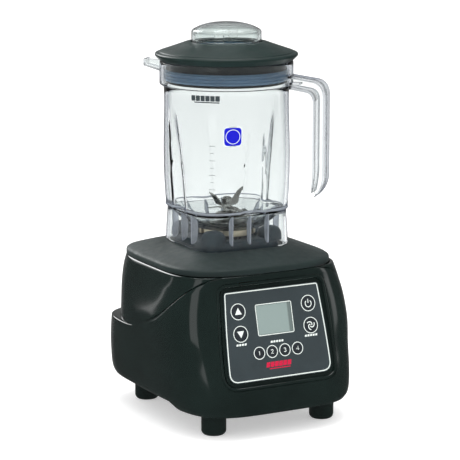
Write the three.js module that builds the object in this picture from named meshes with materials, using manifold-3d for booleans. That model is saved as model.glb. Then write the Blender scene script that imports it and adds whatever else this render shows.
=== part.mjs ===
// Countertop blender with a moulded jar, a rubber lid and a keypad-controlled motor base.
// Millimetres, +Z up. The control panel faces -Y, and the origin is the centre of the base's
// footprint on the surface that the blender stands on. The drive axis lies a little behind it.
import * as THREE from "three";
import { mergeVertices } from "three/addons/utils/BufferGeometryUtils.js";
import Module from "manifold-3d";

const wasm = await Module();
wasm.setup();

// ---------------------------------------------------------------- driving dimensions
const GAP = 0.3; // clearance between pieces that touch
const BASE_WIDTH = 235;
const BASE_DEPTH = 254;
const WALL = 3; // housing wall
const AXIS_Y = 13; // drive axis behind the middle of the base
const SKIRT_Z = 25; // lower edge of the housing
const PLATE_Z = 36; // underside of the base plate
const PLATE_THICKNESS = 3;
const RIM_Z = 178; // top edge of the housing
const ARCH_INSET = 65; // where the housing's lower edge steps up, behind its front
const ARCH_LIFT = 7;
const SEAT_Z = 195.5; // surface that the jar stands on
const FOOT_RADIUS = 14.2;
const FOOT_SIDE_INSET = 47.5; // a foot's centre from the side, the front and the back
const FOOT_FRONT_INSET = 40.5;
const FOOT_REAR_INSET = 44.5;

const PANEL_TILT = THREE.MathUtils.degToRad(14.6); // the front leans back from the vertical
const PANEL_MID_Z = 112; // height of the panel's centre
const PANEL_SETBACK = 22.6; // its membrane's face at that height, behind the base's foremost point
const PANEL_TOP_HALF = 60.5;
const PANEL_BOTTOM_HALF = 66.5;
const PANEL_HEIGHT = 102;
const BEZEL_BORDER = 8.5;
const MEMBRANE = 1;
const KEY_RADIUS = 8.2;
const SPEED_KEY_RADIUS = 6.1;
const LCD_WIDTH = 44;
const LCD_HEIGHT = 33;

const JAR_TOP_RADIUS = 72;
const JAR_FOOT_HALF = 61.8; // half width of the square end of the jar's body
const JAR_WALL = 3.5;
const JAR_FLOOR_Z = 217; // top of the jar's floor
const JAR_RING_Z = 240; // where the body meets its skirt
const COLLAR_Z = 379;
const COLLAR_RADIUS = 76.5;
const JAR_TOP_Z = 406;
const FLUTE_DEPTH = 12;
const BOWL_SPLIT_Z = 243; // where the bowl piece meets the body piece
const COLLAR_SPLIT_Z = 372; // where the body piece meets the collar piece
const SKIRT_TOP_HALF = 59.3;
const SKIRT_BOTTOM_HALF = 58.6;
const HANDLE_REACH = 119; // outside of the grip from the jar's axis
const HANDLE_DEPTH = 14.5; // across both flanges of the grip
const HANDLE_WIDTH = 24;
const HANDLE_FLANGE = 2.6;
const GRIP_TOP_Z = 369; // where the grip piece meets its arm
const SPOUT_REACH = 97;

const LID_RADIUS = 81.8;
const LID_TOP_Z = 428;
const LID_HOLE_RADIUS = 37;
const PLUG_RADIUS = 69.5;
const PLUG_BOTTOM_Z = 381.5;
const CAP_RADIUS = 40;
const CAP_TOP_Z = 450;

const SHAFT_RADIUS = 4;
const SOCKET_RADIUS = 13;
const SPLINE_RADIUS = 6.5;
const SPINDLE_RADIUS = 4.5;
const HOUSING_RADIUS = 15; // jar bearing housing below its flange
const NUT_RADIUS = 33;
const BLADE_REACH = 33.5;
const STATOR_RADIUS = 44;
const STATOR_BOTTOM_Z = 72;
const STATOR_TOP_Z = 146;
const GLAND_Z = 62;
const GLAND_RADIUS = 9;

const HALF = BASE_WIDTH / 2;
const FRONT = BASE_DEPTH / 2;
const TURN = 2 * Math.PI;
const ROUND = 24; // sides of an ordinary round piece
const WIDE_ROUND = 36; // sides of the lid and the collar
const OUTLINE = 40; // points round a housing section

// ---------------------------------------------------------------- solids
const mix = (a, b, t) => a + (b - a) * t;
const clamp01 = (t) => Math.min(1, Math.max(0, t));
const smooth = (t) => clamp01(t) ** 2 * (3 - 2 * clamp01(t));

// A closed geometry as a solid, whichever way round its outline was drawn.
function solid(geometry) {
  const bare = geometry.index ? geometry.toNonIndexed() : geometry.clone();
  bare.deleteAttribute("normal");
  bare.deleteAttribute("uv");
  const merged = mergeVertices(bare, 1e-4);
  const build = (triVerts) =>
    new wasm.Manifold(
      new wasm.Mesh({ numProp: 3, vertProperties: merged.attributes.position.array, triVerts }),
    );
  const faces = new Uint32Array(merged.index.array);
  const made = build(faces);
  return made.volume() < 0 ? build(faces.reverse()) : made;
}

function geometryOf(body) {
  const mesh = body.getMesh();
  const geometry = new THREE.BufferGeometry();
  geometry.setAttribute("position", new THREE.BufferAttribute(new Float32Array(mesh.vertProperties), 3));
  geometry.setIndex(new THREE.BufferAttribute(new Uint32Array(mesh.triVerts), 1));
  geometry.computeVertexNormals();
  return geometry;
}

// A closed solid through rings of points, listed from the bottom up and anticlockwise from above.
function loft(rings) {
  const count = rings[0].length;
  const points = rings.flat();
  const faces = [];
  for (let k = 0; k + 1 < rings.length; k++) {
    for (let i = 0; i < count; i++) {
      const a = k * count + i;
      const b = k * count + ((i + 1) % count);
      faces.push(a, b, b + count, a, b + count, a + count);
    }
  }
  const middle = (ring) => ring.reduce((s, p) => s.add(p), new THREE.Vector3()).divideScalar(count);
  const bottom = points.push(middle(rings[0])) - 1;
  const top = points.push(middle(rings.at(-1))) - 1;
  const last = (rings.length - 1) * count;
  for (let i = 0; i < count; i++) {
    const next = (i + 1) % count;
    faces.push(bottom, next, i, top, last + i, last + next);
  }
  return solid(new THREE.BufferGeometry().setFromPoints(points).setIndex(faces));
}

// A round solid from [radius, z] corners, which start and end on the axis or close on themselves.
function turned(corners, sides = ROUND) {
  const profile = corners.map(([r, z]) => new THREE.Vector2(r, z));
  return solid(new THREE.LatheGeometry(profile, sides).rotateX(Math.PI / 2));
}

const ringOf = (outer, inner, z0, z1, sides = ROUND) =>
  turned([[inner, z0], [outer, z0], [outer, z1], [inner, z1], [inner, z0]], sides);

const rod = (radius, z0, z1, sides = ROUND) => turned([[0, z0], [radius, z0], [radius, z1], [0, z1]], sides);

const box = (x, y, z, at = [0, 0, 0]) => solid(new THREE.BoxGeometry(x, y, z).translate(...at));

// A plate of a flat outline, standing on z0 and reaching z1.
function plate(shape, z0, z1, curveSegments = 6) {
  const options = { depth: z1 - z0, bevelEnabled: false, curveSegments };
  return solid(new THREE.ExtrudeGeometry(shape, options).translate(0, 0, z0));
}

const moved = (body, matrix) => body.transform(matrix.elements);
const turnedBy = (body, angle) => moved(body, new THREE.Matrix4().makeRotationZ(angle));
const joined = (bodies) => bodies.reduce((a, b) => a.add(b));
// The stretch of a solid between two heights, short of each by half a gap.
const between = (body, low, high) =>
  body.trimByPlane([0, 0, 1], low + GAP / 2).trimByPlane([0, 0, -1], GAP / 2 - high);

// ---------------------------------------------------------------- outlines
// A ring of a base section: a front and a back half superellipse, which meet at y = 0. The half
// width changes smoothly from `half` at the front to `rear` at the back.
function baseRing({ z, half, rear, front, back, frontPower, backPower }, inset = 0, drop = 0) {
  const ring = [];
  for (let i = 0; i < OUTLINE; i++) {
    const t = (i / OUTLINE) * TURN;
    const c = Math.cos(t);
    const s = Math.sin(t);
    const power = s < 0 ? frontPower : backPower;
    const reach = s < 0 ? front : back;
    const width = mix(half, rear, smooth((1 + s) / 2)) - inset;
    const x = Math.sign(c) * width * Math.abs(c) ** (2 / power);
    const y = Math.sign(s) * (reach - inset) * Math.abs(s) ** (2 / power);
    ring.push(new THREE.Vector3(x, y, z + drop));
  }
  return ring;
}

// A section's height, how far it stands in from the overall width (front and rear half), from the
// front and from the back, and how square its front and back halves are.
const section = (z, side, rearSide, front, back, frontPower, backPower) => ({
  z, half: HALF - side, rear: HALF - rearSide, front: FRONT - front, back: FRONT - back, frontPower, backPower,
});
// Sections of the lower housing from its foot to the rim.
const LOWER = [
  section(SKIRT_Z, 15, 13, 3, 12, 4.3, 5),
  section(SKIRT_Z + 5, 11, 9, 0, 4, 4.3, 5),
  section(SKIRT_Z + 15, 8, 3.5, 0.4, 1, 4.3, 5.2),
  section(SKIRT_Z + 35, 5, 1.5, 4.5, 0, 4.2, 5.2),
  section(85, 2.5, 0.5, 11.5, 0.5, 4.1, 5),
  section(112, 0, 0, 18.6, 4, 4.1, 4.6),
  section(140, 3, 3, 25.4, 6, 4.1, 4.3),
  section(162, 8.5, 8.5, 30.2, 9, 4, 4),
  section(RIM_Z, 14.5, 14.5, 32.3, 10.7, 4, 3.9),
];
// The upper housing shares the front of those sections and draws in at the back.
const UPPER = LOWER.filter(({ z }) => z >= 85).map((ring) => ({
  ...ring,
  back: FRONT - 10.7 - 15 * smooth((RIM_Z - ring.z) / 60),
  backPower: 3.9,
}));

// The parting line on the side: from the rim at the front corner down to the side, then up a little.
function partingLine() {
  const line = new THREE.SplineCurve([
    new THREE.Vector2(-FRONT - 20, RIM_Z + 28),
    new THREE.Vector2(33 - FRONT, RIM_Z + 2),
    new THREE.Vector2(-0.4 * FRONT, 139),
    new THREE.Vector2(-0.063 * FRONT, 117),
    new THREE.Vector2(0.19 * FRONT, 107),
    new THREE.Vector2(0.41 * FRONT, 105),
    new THREE.Vector2(0.69 * FRONT, 105),
    new THREE.Vector2(FRONT + 20, 105),
  ]);
  return line.getPoints(13);
}

// A side view outline, x along +Y and y along +Z, extruded right across the base.
function acrossBase(shape, curveSegments = 1) {
  const options = { depth: BASE_WIDTH + 40, bevelEnabled: false, curveSegments };
  const geometry = new THREE.ExtrudeGeometry(shape, options).translate(0, 0, -HALF - 20);
  const y = new THREE.Vector3(0, 1, 0);
  const z = new THREE.Vector3(0, 0, 1);
  return solid(geometry.applyMatrix4(new THREE.Matrix4().makeBasis(y, z, new THREE.Vector3(1, 0, 0))));
}

// Everything below (or above) the parting line, shifted down by a little.
function partingBlock(below, down) {
  const line = partingLine().map((p) => new THREE.Vector2(p.x, p.y - down));
  const end = below ? -50 : RIM_Z + 120;
  const corners = [...line, new THREE.Vector2(line.at(-1).x, end), new THREE.Vector2(line[0].x, end)];
  return acrossBase(new THREE.Shape(corners));
}

// ---------------------------------------------------------------- the tilted panel frame
// x to the right, y up the panel, z out of its face.
const PANEL = new THREE.Matrix4()
  .makeTranslation(0, PANEL_SETBACK - FRONT, PANEL_MID_Z)
  .multiply(new THREE.Matrix4().makeRotationX(Math.PI / 2 - PANEL_TILT));

// Rounded trapezoid of the membrane, grown by a border.
function panelShape(grow) {
  const top = PANEL_TOP_HALF + grow;
  const low = PANEL_BOTTOM_HALF + grow;
  const h = PANEL_HEIGHT / 2 + grow;
  const topRound = Math.max(2, 4 + grow);
  const lowRound = Math.max(6, 13 + grow);
  const lean = (low - top) / (2 * h);
  const shape = new THREE.Shape();
  shape.moveTo(-low + lowRound, -h);
  shape.lineTo(low - lowRound, -h);
  shape.quadraticCurveTo(low, -h, low - lean * lowRound, -h + lowRound);
  shape.quadraticCurveTo(low - lean * h + 1.5, 0, top + lean * topRound, h - topRound);
  shape.quadraticCurveTo(top, h, top - topRound, h);
  shape.lineTo(-top + topRound, h);
  shape.quadraticCurveTo(-top, h, -top - lean * topRound, h - topRound);
  shape.quadraticCurveTo(-low + lean * h - 1.5, 0, -low + lean * lowRound, -h + lowRound);
  shape.quadraticCurveTo(-low, -h, -low + lowRound, -h);
  return shape;
}

const onPanel = (body) => moved(body, PANEL);

// Key name, x and y on the panel, radius.
const KEYS = [
  ["button_time_up", -45, 28.2, KEY_RADIUS],
  ["button_time_down", -45, 3.2, KEY_RADIUS],
  ["button_power", 45, 28.2, KEY_RADIUS],
  ["button_pulse", 45, 3.2, KEY_RADIUS],
  ["button_speed_1", -24.5, -20.4, SPEED_KEY_RADIUS],
  ["button_speed_2", -8.2, -20.4, SPEED_KEY_RADIUS],
  ["button_speed_3", 8.2, -20.4, SPEED_KEY_RADIUS],
  ["button_speed_4", 24.5, -20.4, SPEED_KEY_RADIUS],
];
const LCD_Y = 15.9;

// ---------------------------------------------------------------- materials
const finish = (color, roughness, metalness = 0) =>
  new THREE.MeshStandardMaterial({ color, roughness, metalness });
const GLOSS_BLACK = finish("#161b1a", 0.15);
const SOFT_BLACK = finish("#3a4243", 0.6);
const RUBBER = finish("#20272a", 0.7);
const CLEAR = finish("#dfe6e6", 0.05);
CLEAR.transparent = true;
CLEAR.opacity = 0.35;
const SILICONE = finish("#5c7186", 0.4);
const STEEL = finish("#b9b6ad", 0.25, 1);
const BEIGE_STEEL = finish("#c9bfa8", 0.35, 1);
const MEMBRANE_GREY = finish("#454f57", 0.45);
const KEY_GREY = finish("#3a444c", 0.45);
const DISPLAY = finish("#9db0aa", 0.2);
const BOARD = finish("#1d5b3a", 0.5);
const COPPER = finish("#a5613a", 0.35, 1);
const IRON = finish("#6c6f72", 0.5, 1);
const CARBON = finish("#222222", 0.8);
const ALUMINIUM = finish("#a9adb0", 0.4, 1);

// ---------------------------------------------------------------- base housing
const outerLower = loft(LOWER.map((s) => baseRing(s)));
const outerUpper = loft(UPPER.map((s) => baseRing(s)));

// Inside of the housing, with a floor so that the base plate closes it.
const upperBore = loft([
  ...UPPER.map((s) => baseRing(s, WALL)),
  baseRing(UPPER.at(-1), WALL, 5),
]);
const lowerBore = loft([
  baseRing(LOWER[0], WALL, -5),
  ...LOWER.slice(1).map((s) => baseRing(s, WALL)),
  baseRing(LOWER.at(-1), WALL, 5),
]);

// The bezel's opening, which goes right through the front wall.
const bezelPrism = (grow, from, to) => onPanel(plate(panelShape(BEZEL_BORDER + grow), from, to));

// What lifts the housing's lower edge behind the front feet.
function rearArch() {
  const lift = SKIRT_Z + ARCH_LIFT;
  const arch = new THREE.Shape();
  const y = ARCH_INSET - FRONT;
  arch.moveTo(y - 12, SKIRT_Z - 10);
  arch.lineTo(y - 12, SKIRT_Z);
  arch.bezierCurveTo(y - 6, SKIRT_Z + 1, y - 2, lift, y + 14, lift);
  arch.lineTo(FRONT + 10, lift);
  arch.lineTo(FRONT + 10, SKIRT_Z - 10);
  return acrossBase(arch, 4);
}

const GLAND_Y = FRONT - WALL - 3; // where the cord's gland sits on the rear wall's inside
// A round hole through the rear wall for the cord's gland.
const glandHole = (radius) =>
  solid(new THREE.CylinderGeometry(radius, radius, 40, 24).translate(0, GLAND_Y, -GLAND_Z).applyMatrix4(
    new THREE.Matrix4().makeBasis(
      new THREE.Vector3(1, 0, 0), new THREE.Vector3(0, 1, 0), new THREE.Vector3(0, 0, -1))));

// Rows of air slots in the rear wall.
function rearVents() {
  const slots = [];
  for (let row = 0; row < 3; row++) {
    for (const side of [-1, 1]) slots.push(box(38, 60, 3.2, [side * 38, FRONT - 4, 78 + row * 8]));
  }
  return joined(slots);
}

function lowerHousing() {
  const cavity = lowerBore.intersect(partingBlock(true, WALL));
  return outerLower
    .intersect(partingBlock(true, 0))
    .subtract(cavity)
    .subtract(upperBore)
    .subtract(bezelPrism(GAP, -30, 40))
    .subtract(rearArch())
    .subtract(glandHole(GLAND_RADIUS - 2))
    .subtract(rearVents());
}

const upperHousing = () => outerUpper.intersect(partingBlock(false, -GAP)).subtract(upperBore);

// Soft-touch top: a low dome from the rim to the jar's seat, hollow underneath.
const DECK_EDGE_Z = 185;
const DECK_INSET = 0.8;
function deckRing(z, share, lift = 0) {
  const rim = baseRing({ ...UPPER.at(-1), frontPower: 3.3, backPower: 4.1 }, DECK_INSET);
  return rim.map((p) => {
    const seat = seatPoint(SKIRT_BOTTOM_HALF + 5, p.x, p.y);
    return new THREE.Vector3(mix(p.x, seat.x, share), mix(p.y, seat.y, share), z + lift);
  });
}

// The point of a rounded square about the drive axis that lies towards (x, y).
function seatPoint(half, x, y, power = 4) {
  const dx = x;
  const dy = y - AXIS_Y;
  const size = (Math.abs(dx / half) ** power + Math.abs(dy / half) ** power) ** (-1 / power);
  return new THREE.Vector2(dx * size, AXIS_Y + dy * size);
}

function topDeck() {
  const z0 = RIM_Z + GAP;
  const skin = 3;
  const outside = loft([
    deckRing(z0, 0.03),
    deckRing(DECK_EDGE_Z - 2, 0),
    deckRing(DECK_EDGE_Z, 0.04),
    deckRing(mix(DECK_EDGE_Z, SEAT_Z, 0.45), 0.4),
    deckRing(mix(DECK_EDGE_Z, SEAT_Z, 0.85), 0.8),
    deckRing(SEAT_Z, 1.05),
  ]);
  const inside = loft([
    deckRing(z0 - 1, 0.1),
    deckRing(DECK_EDGE_Z - skin, 0.1),
    deckRing(mix(DECK_EDGE_Z, SEAT_Z, 0.85) - skin, 0.8),
    deckRing(SEAT_Z - skin, 1.05),
  ]);
  return outside.subtract(inside).subtract(at(rod(SOCKET_RADIUS + 5, 150, 220)));
}

// From the drive axis's frame into the base's.
const at = (body) => moved(body, new THREE.Matrix4().makeTranslation(0, AXIS_Y, 0));

// ---------------------------------------------------------------- jar outlines
// A ring of the jar's body: round at the top, square with round corners below, fluted on each side.
const JAR_POINTS = 40;
function jarRing(z, inset = 0, fluted = true) {
  const up = smooth((z - JAR_RING_Z) / (COLLAR_Z - JAR_RING_Z));
  const power = mix(3.6, 2, up);
  const half = mix(JAR_FOOT_HALF, JAR_TOP_RADIUS, (z - JAR_RING_Z) / (COLLAR_Z - JAR_RING_Z)) - inset;
  const flute = fluted ? FLUTE_DEPTH * smooth((364 - z) / 62) : 0;
  const ring = [];
  for (let i = 0; i < JAR_POINTS; i++) {
    const t = (i / JAR_POINTS) * TURN;
    const c = Math.cos(t);
    const s = Math.sin(t);
    const size = half * (Math.abs(c) ** power + Math.abs(s) ** power) ** (-1 / power);
    const off = Math.abs(Math.sin(2 * t)) / 2; // sideways of the nearest side's middle, as a share
    const groove = Math.max(0, 1 - (off / 0.17) ** 2) ** 1.5;
    ring.push(new THREE.Vector3(c * (size - flute * groove), s * (size - flute * groove), z));
  }
  return ring;
}

// A rounded square ring about the jar's axis.
function squareRing(half, z, power = 5, count = JAR_POINTS) {
  const ring = [];
  for (let i = 0; i < count; i++) {
    const t = (i / count) * TURN;
    const c = Math.cos(t);
    const s = Math.sin(t);
    const size = half * (Math.abs(c) ** power + Math.abs(s) ** power) ** (-1 / power);
    ring.push(new THREE.Vector3(c * size, s * size, z));
  }
  return ring;
}

const circleRing = (radius, z, count = JAR_POINTS) => squareRing(radius, z, 2, count);

const HANDLE_ANGLE = -Math.PI / 4; // towards the front right corner; the spout is opposite
const LEVELS = [JAR_RING_Z, 275, 305, 325, 343, COLLAR_Z - 17, COLLAR_Z - 2];

// Under the ring the body narrows to a bowl, whose outline the skirt leaves free by `clear`.
const RING_UNDERSIDE_Z = JAR_RING_Z - 3;
const bowlRings = (clear = 0) => [
  circleRing(31 + clear, JAR_FLOOR_Z - JAR_WALL - clear),
  squareRing(38.5 + clear, JAR_FLOOR_Z - JAR_WALL + 1.5 - clear, 2.4),
  squareRing(JAR_FOOT_HALF - 5.8 + clear, RING_UNDERSIDE_Z, 3.4),
];

function jarWalls() {
  const outside = loft([
    ...bowlRings(),
    squareRing(JAR_FOOT_HALF - 1, RING_UNDERSIDE_Z, 3.6),
    ...LEVELS.map((z) => jarRing(z)),
    circleRing(COLLAR_RADIUS, COLLAR_Z + 1),
    circleRing(COLLAR_RADIUS, JAR_TOP_Z),
  ]);
  const inside = loft([
    circleRing(27, JAR_FLOOR_Z),
    squareRing(33.5, JAR_FLOOR_Z + 2.5, 2.4),
    squareRing(JAR_FOOT_HALF - 9.2, RING_UNDERSIDE_Z, 3.5),
    ...LEVELS.slice(0, -1).map((z) => jarRing(z, JAR_WALL)),
    circleRing(COLLAR_RADIUS - 4, COLLAR_Z + 0.5),
    circleRing(COLLAR_RADIUS - 4, JAR_TOP_Z + 5),
  ]);
  return outside.add(spout(0)).subtract(inside).subtract(spout(2.2)).subtract(rod(HOUSING_RADIUS + GAP, 200, 230));
}

// The jar's wall in four pieces: its bowl, its body, its collar and its pouring lip.
function jarPieces() {
  const walls = jarWalls();
  const collar = between(walls, COLLAR_SPLIT_Z, JAR_TOP_Z + 1);
  const out = [Math.cos(HANDLE_ANGLE + Math.PI), Math.sin(HANDLE_ANGLE + Math.PI), 0];
  const edge = COLLAR_RADIUS + 0.5;
  return {
    bowl: between(walls, 0, BOWL_SPLIT_Z),
    body: between(walls, BOWL_SPLIT_Z, COLLAR_SPLIT_Z),
    collar: collar.trimByPlane(out.map((v) => -v), GAP / 2 - edge),
    spout: collar.trimByPlane(out, edge + GAP / 2),
  };
}

// A pouring lip: a wedge at the collar's top, opposite the handle.
function spout(wall) {
  const inner = wall > 0;
  const reach = SPOUT_REACH - wall;
  const half = 17 - wall;
  const tipHalf = 9 - wall;
  const top = inner ? JAR_TOP_Z + 5 : JAR_TOP_Z;
  const low = JAR_TOP_Z - 15 + wall;
  const tipLow = JAR_TOP_Z - 9 + wall;
  const start = COLLAR_RADIUS - 5;
  const points = [
    [start, -half, low], [reach, -tipHalf, tipLow], [reach, tipHalf, tipLow], [start, half, low],
    [start, -half, top], [reach, -tipHalf, top], [reach, tipHalf, top], [start, half, top],
  ].map((p) => new THREE.Vector3(...p));
  const wedge = loft([points.slice(0, 4), points.slice(4)]);
  return turnedBy(wedge, HANDLE_ANGLE + Math.PI);
}

// Ribbed skirt under the body, which drops over the seat.
const RIB_OFFSETS = [-23, 0, 23];
function jarSkirt() {
  const top = RING_UNDERSIDE_Z - GAP;
  const outside = loft([squareRing(SKIRT_BOTTOM_HALF, SEAT_Z + GAP, 5.5), squareRing(SKIRT_TOP_HALF, top, 4)]);
  const inside = loft([
    squareRing(SKIRT_BOTTOM_HALF - 3.1, SEAT_Z - 1, 5.5),
    squareRing(SKIRT_TOP_HALF - 2.4, top + 1, 4),
  ]);
  const rib = new THREE.Shape();
  rib.moveTo(SKIRT_TOP_HALF - 1, top - 1);
  rib.lineTo(SKIRT_BOTTOM_HALF - 1.6, SEAT_Z + 5);
  rib.quadraticCurveTo(SKIRT_BOTTOM_HALF - 8, SEAT_Z + 8, SKIRT_BOTTOM_HALF - 9, SEAT_Z + 20);
  rib.lineTo(SKIRT_BOTTOM_HALF - 9, top - 1);
  const options = { depth: 2, bevelEnabled: false, curveSegments: 3 };
  const ribs = [];
  for (let side = 0; side < 4; side++) {
    for (const offset of RIB_OFFSETS) {
      const geometry = new THREE.ExtrudeGeometry(rib, options).rotateX(Math.PI / 2).translate(0, offset + 1, 0);
      ribs.push(turnedBy(solid(geometry), (side * TURN) / 4));
    }
  }
  // The bowl's clearance runs on upwards, so that nothing of the ribs is left above it.
  const bowl = bowlRings(GAP);
  return outside.subtract(inside).add(joined(ribs)).subtract(loft(bowl));
}

// ---------------------------------------------------------------- handle
// An I-section that leaves the collar, turns down and ends free, drawn in its own radial plane.
function handlePath(offset) {
  const outer = HANDLE_REACH - offset;
  const top = 388 - offset;
  const tip = 254 + offset * 0.4;
  const turn = 17 - offset * 0.5;
  const path = new THREE.Path();
  path.moveTo(COLLAR_RADIUS + GAP, top + 3.5);
  path.lineTo(outer - turn, top);
  path.quadraticCurveTo(outer, top - 1, outer, top - turn - 2);
  path.lineTo(outer, tip + 24);
  path.quadraticCurveTo(outer - 1, tip + 9, outer - 12 + offset * 0.75, tip);
  return path;
}

function handleStrip(from, to, width) {
  const outer = handlePath(from).getPoints(7);
  const inner = handlePath(to).getPoints(7).reverse();
  const shape = new THREE.Shape([...outer, ...inner]);
  const options = { depth: width, bevelEnabled: false };
  return solid(new THREE.ExtrudeGeometry(shape, options).rotateX(Math.PI / 2).translate(0, width / 2, 0));
}

function jarHandle() {
  const grip = joined([
    handleStrip(0, HANDLE_FLANGE, HANDLE_WIDTH),
    handleStrip(HANDLE_DEPTH - HANDLE_FLANGE, HANDLE_DEPTH, HANDLE_WIDTH),
    handleStrip(0.6, HANDLE_DEPTH - 0.6, 3),
    box(14, 14, 2.2, [COLLAR_RADIUS + 6, 0, 382]),
  ]);
  // Keep clear of the collar and the body under it.
  const clear = ringOf(COLLAR_RADIUS + GAP, 1, 360, JAR_TOP_Z + 4, JAR_POINTS);
  const handle = turnedBy(grip.subtract(clear), HANDLE_ANGLE);
  return { arm: between(handle, GRIP_TOP_Z, JAR_TOP_Z), grip: between(handle, 0, GRIP_TOP_Z) };
}

// ---------------------------------------------------------------- lid and cap
const PLUG_WALL = 2.6;
const GASKET_TOP_Z = 397;
function lidBody() {
  const hole = LID_HOLE_RADIUS;
  return turned([
    [hole, 415], [hole, LID_TOP_Z - 3.6], [CAP_RADIUS + 0.8, LID_TOP_Z - 3.4], [CAP_RADIUS + 1.4, LID_TOP_Z],
    [CAP_RADIUS + 6, LID_TOP_Z - 0.6], [60, 422], [75, 416.5], [LID_RADIUS - 1, 413.6], [LID_RADIUS, 411.8],
    [LID_RADIUS - 2, 409], [LID_RADIUS - 6, JAR_TOP_Z + 0.4], [PLUG_RADIUS, JAR_TOP_Z + 0.4],
    [PLUG_RADIUS, GASKET_TOP_Z], [PLUG_RADIUS - 3, GASKET_TOP_Z - 0.2], [PLUG_RADIUS - 3, 384.3],
    [PLUG_RADIUS, 384], [PLUG_RADIUS, PLUG_BOTTOM_Z], [PLUG_RADIUS - 5.5, PLUG_BOTTOM_Z],
    [PLUG_RADIUS - 5.5, 411], [52, 418], [hole + 3.5, 421], [hole + 3.5, 415], [hole, 415],
  ], WIDE_ROUND);
}

function lidGasket() {
  const inner = PLUG_RADIUS - 3 + GAP;
  const body = PLUG_RADIUS + 0.2;
  const fin = PLUG_RADIUS + 2.2;
  const low = 384 + GAP;
  const profile = [[inner, low], [body, low]];
  for (const z of [386.6, 390.4, 394.2]) profile.push([body, z - 1.2], [fin, z]);
  profile.push([body, GASKET_TOP_Z - 2 * GAP], [inner, GASKET_TOP_Z - 2 * GAP], [inner, low]);
  return turned(profile, WIDE_ROUND);
}

const CAP_SEAT_Z = LID_TOP_Z - 3.3; // shelf that carries the cap's flange
const CAP_PLUG_RADIUS = LID_HOLE_RADIUS - 2.2;
const CAP_PLUG_BOTTOM_Z = 411;
function lidCap() {
  const seat = CAP_SEAT_Z + GAP;
  const cup = turned([
    [CAP_PLUG_RADIUS - 2.4, CAP_PLUG_BOTTOM_Z], [CAP_PLUG_RADIUS, CAP_PLUG_BOTTOM_Z],
    [CAP_PLUG_RADIUS, seat - 5], [CAP_PLUG_RADIUS, seat], [CAP_RADIUS, seat], [CAP_RADIUS, 439.6],
    [CAP_RADIUS - 2, 441.4], [30, 445.6], [18, 448.8], [0, CAP_TOP_Z], [0, CAP_TOP_Z - 2.6], [18, 446.2],
    [30, 442.6], [CAP_RADIUS - 3.2, 438.4], [CAP_RADIUS - 3.2, seat + 3],
    [CAP_PLUG_RADIUS - 2.4, seat + 3], [CAP_PLUG_RADIUS - 2.4, CAP_PLUG_BOTTOM_Z],
  ], WIDE_ROUND);
  return cup;
}

function capSeal() {
  return ringOf(LID_HOLE_RADIUS - 0.35, CAP_PLUG_RADIUS + GAP, CAP_SEAT_Z - 6, CAP_SEAT_Z - 2.2, WIDE_ROUND);
}

// ---------------------------------------------------------------- jar bearing and blades
function bearingHousing() {
  const flange = JAR_FLOOR_Z + GAP;
  return turned([
    [SPINDLE_RADIUS + 5, 206], [HOUSING_RADIUS - 0.3, 206], [HOUSING_RADIUS - 0.3, flange], [22, flange],
    [22, flange + 2.5], [14, flange + 5], [10, flange + 12], [SPINDLE_RADIUS + 1, flange + 13],
    [SPINDLE_RADIUS + 1, flange + 8], [SPINDLE_RADIUS + 5, flange + 8], [SPINDLE_RADIUS + 5, 206],
  ]);
}

function retainerNut() {
  const top = JAR_FLOOR_Z - JAR_WALL - GAP;
  const ring = ringOf(NUT_RADIUS, HOUSING_RADIUS + GAP, top - 6.5, top, 28);
  const notches = [];
  for (let k = 0; k < 6; k++) notches.push(turnedBy(box(9, 7, 20, [NUT_RADIUS, 0, top]), (k * TURN) / 6));
  return ring.subtract(joined(notches));
}

const jarBearing = (z) => ringOf(SPINDLE_RADIUS + 4.7, SPINDLE_RADIUS + GAP, z, z + 6, 16);

const SPINDLE_TOP_Z = 249;
function bladeShaft() {
  return turned([[0, 198.5], [3.5, 198.5], [3.5, 203.6], [SPINDLE_RADIUS, 204], [SPINDLE_RADIUS, 233.5],
    [3.4, 233.5], [3.4, SPINDLE_TOP_Z - 6.2], [0, SPINDLE_TOP_Z - 6.2]], 16);
}

// Teeth round a drive coupling, pointing outward.
function splineShape(radius, root, teeth) {
  const shape = new THREE.Shape();
  for (let k = 0; k < teeth * 4; k++) {
    const angle = ((k + 0.5) * TURN) / (teeth * 4);
    const r = k % 4 < 2 ? radius : root;
    const point = new THREE.Vector2(Math.cos(angle) * r, Math.sin(angle) * r);
    if (k === 0) shape.moveTo(point.x, point.y);
    else shape.lineTo(point.x, point.y);
  }
  return shape;
}

const SPLINE_TEETH = 8;
const SOCKET_TOP_Z = 205;
const driveSpline = () =>
  plate(splineShape(SPLINE_RADIUS, SPLINE_RADIUS - 1.1, SPLINE_TEETH), 193, 203.2).subtract(rod(3.5 + GAP, 198.2, 210, 14));

function driveSocket() {
  const outside = turned([[0, 181], [9, 181], [9, 186], [SOCKET_RADIUS, 187], [SOCKET_RADIUS, SOCKET_TOP_Z],
    [0, SOCKET_TOP_Z]], ROUND);
  const bore = plate(splineShape(SPLINE_RADIUS + 0.5, SPLINE_RADIUS - 0.6, SPLINE_TEETH), 191, 220);
  return outside.subtract(bore).subtract(rod(SHAFT_RADIUS + GAP, 170, 188.5, 14));
}

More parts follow.
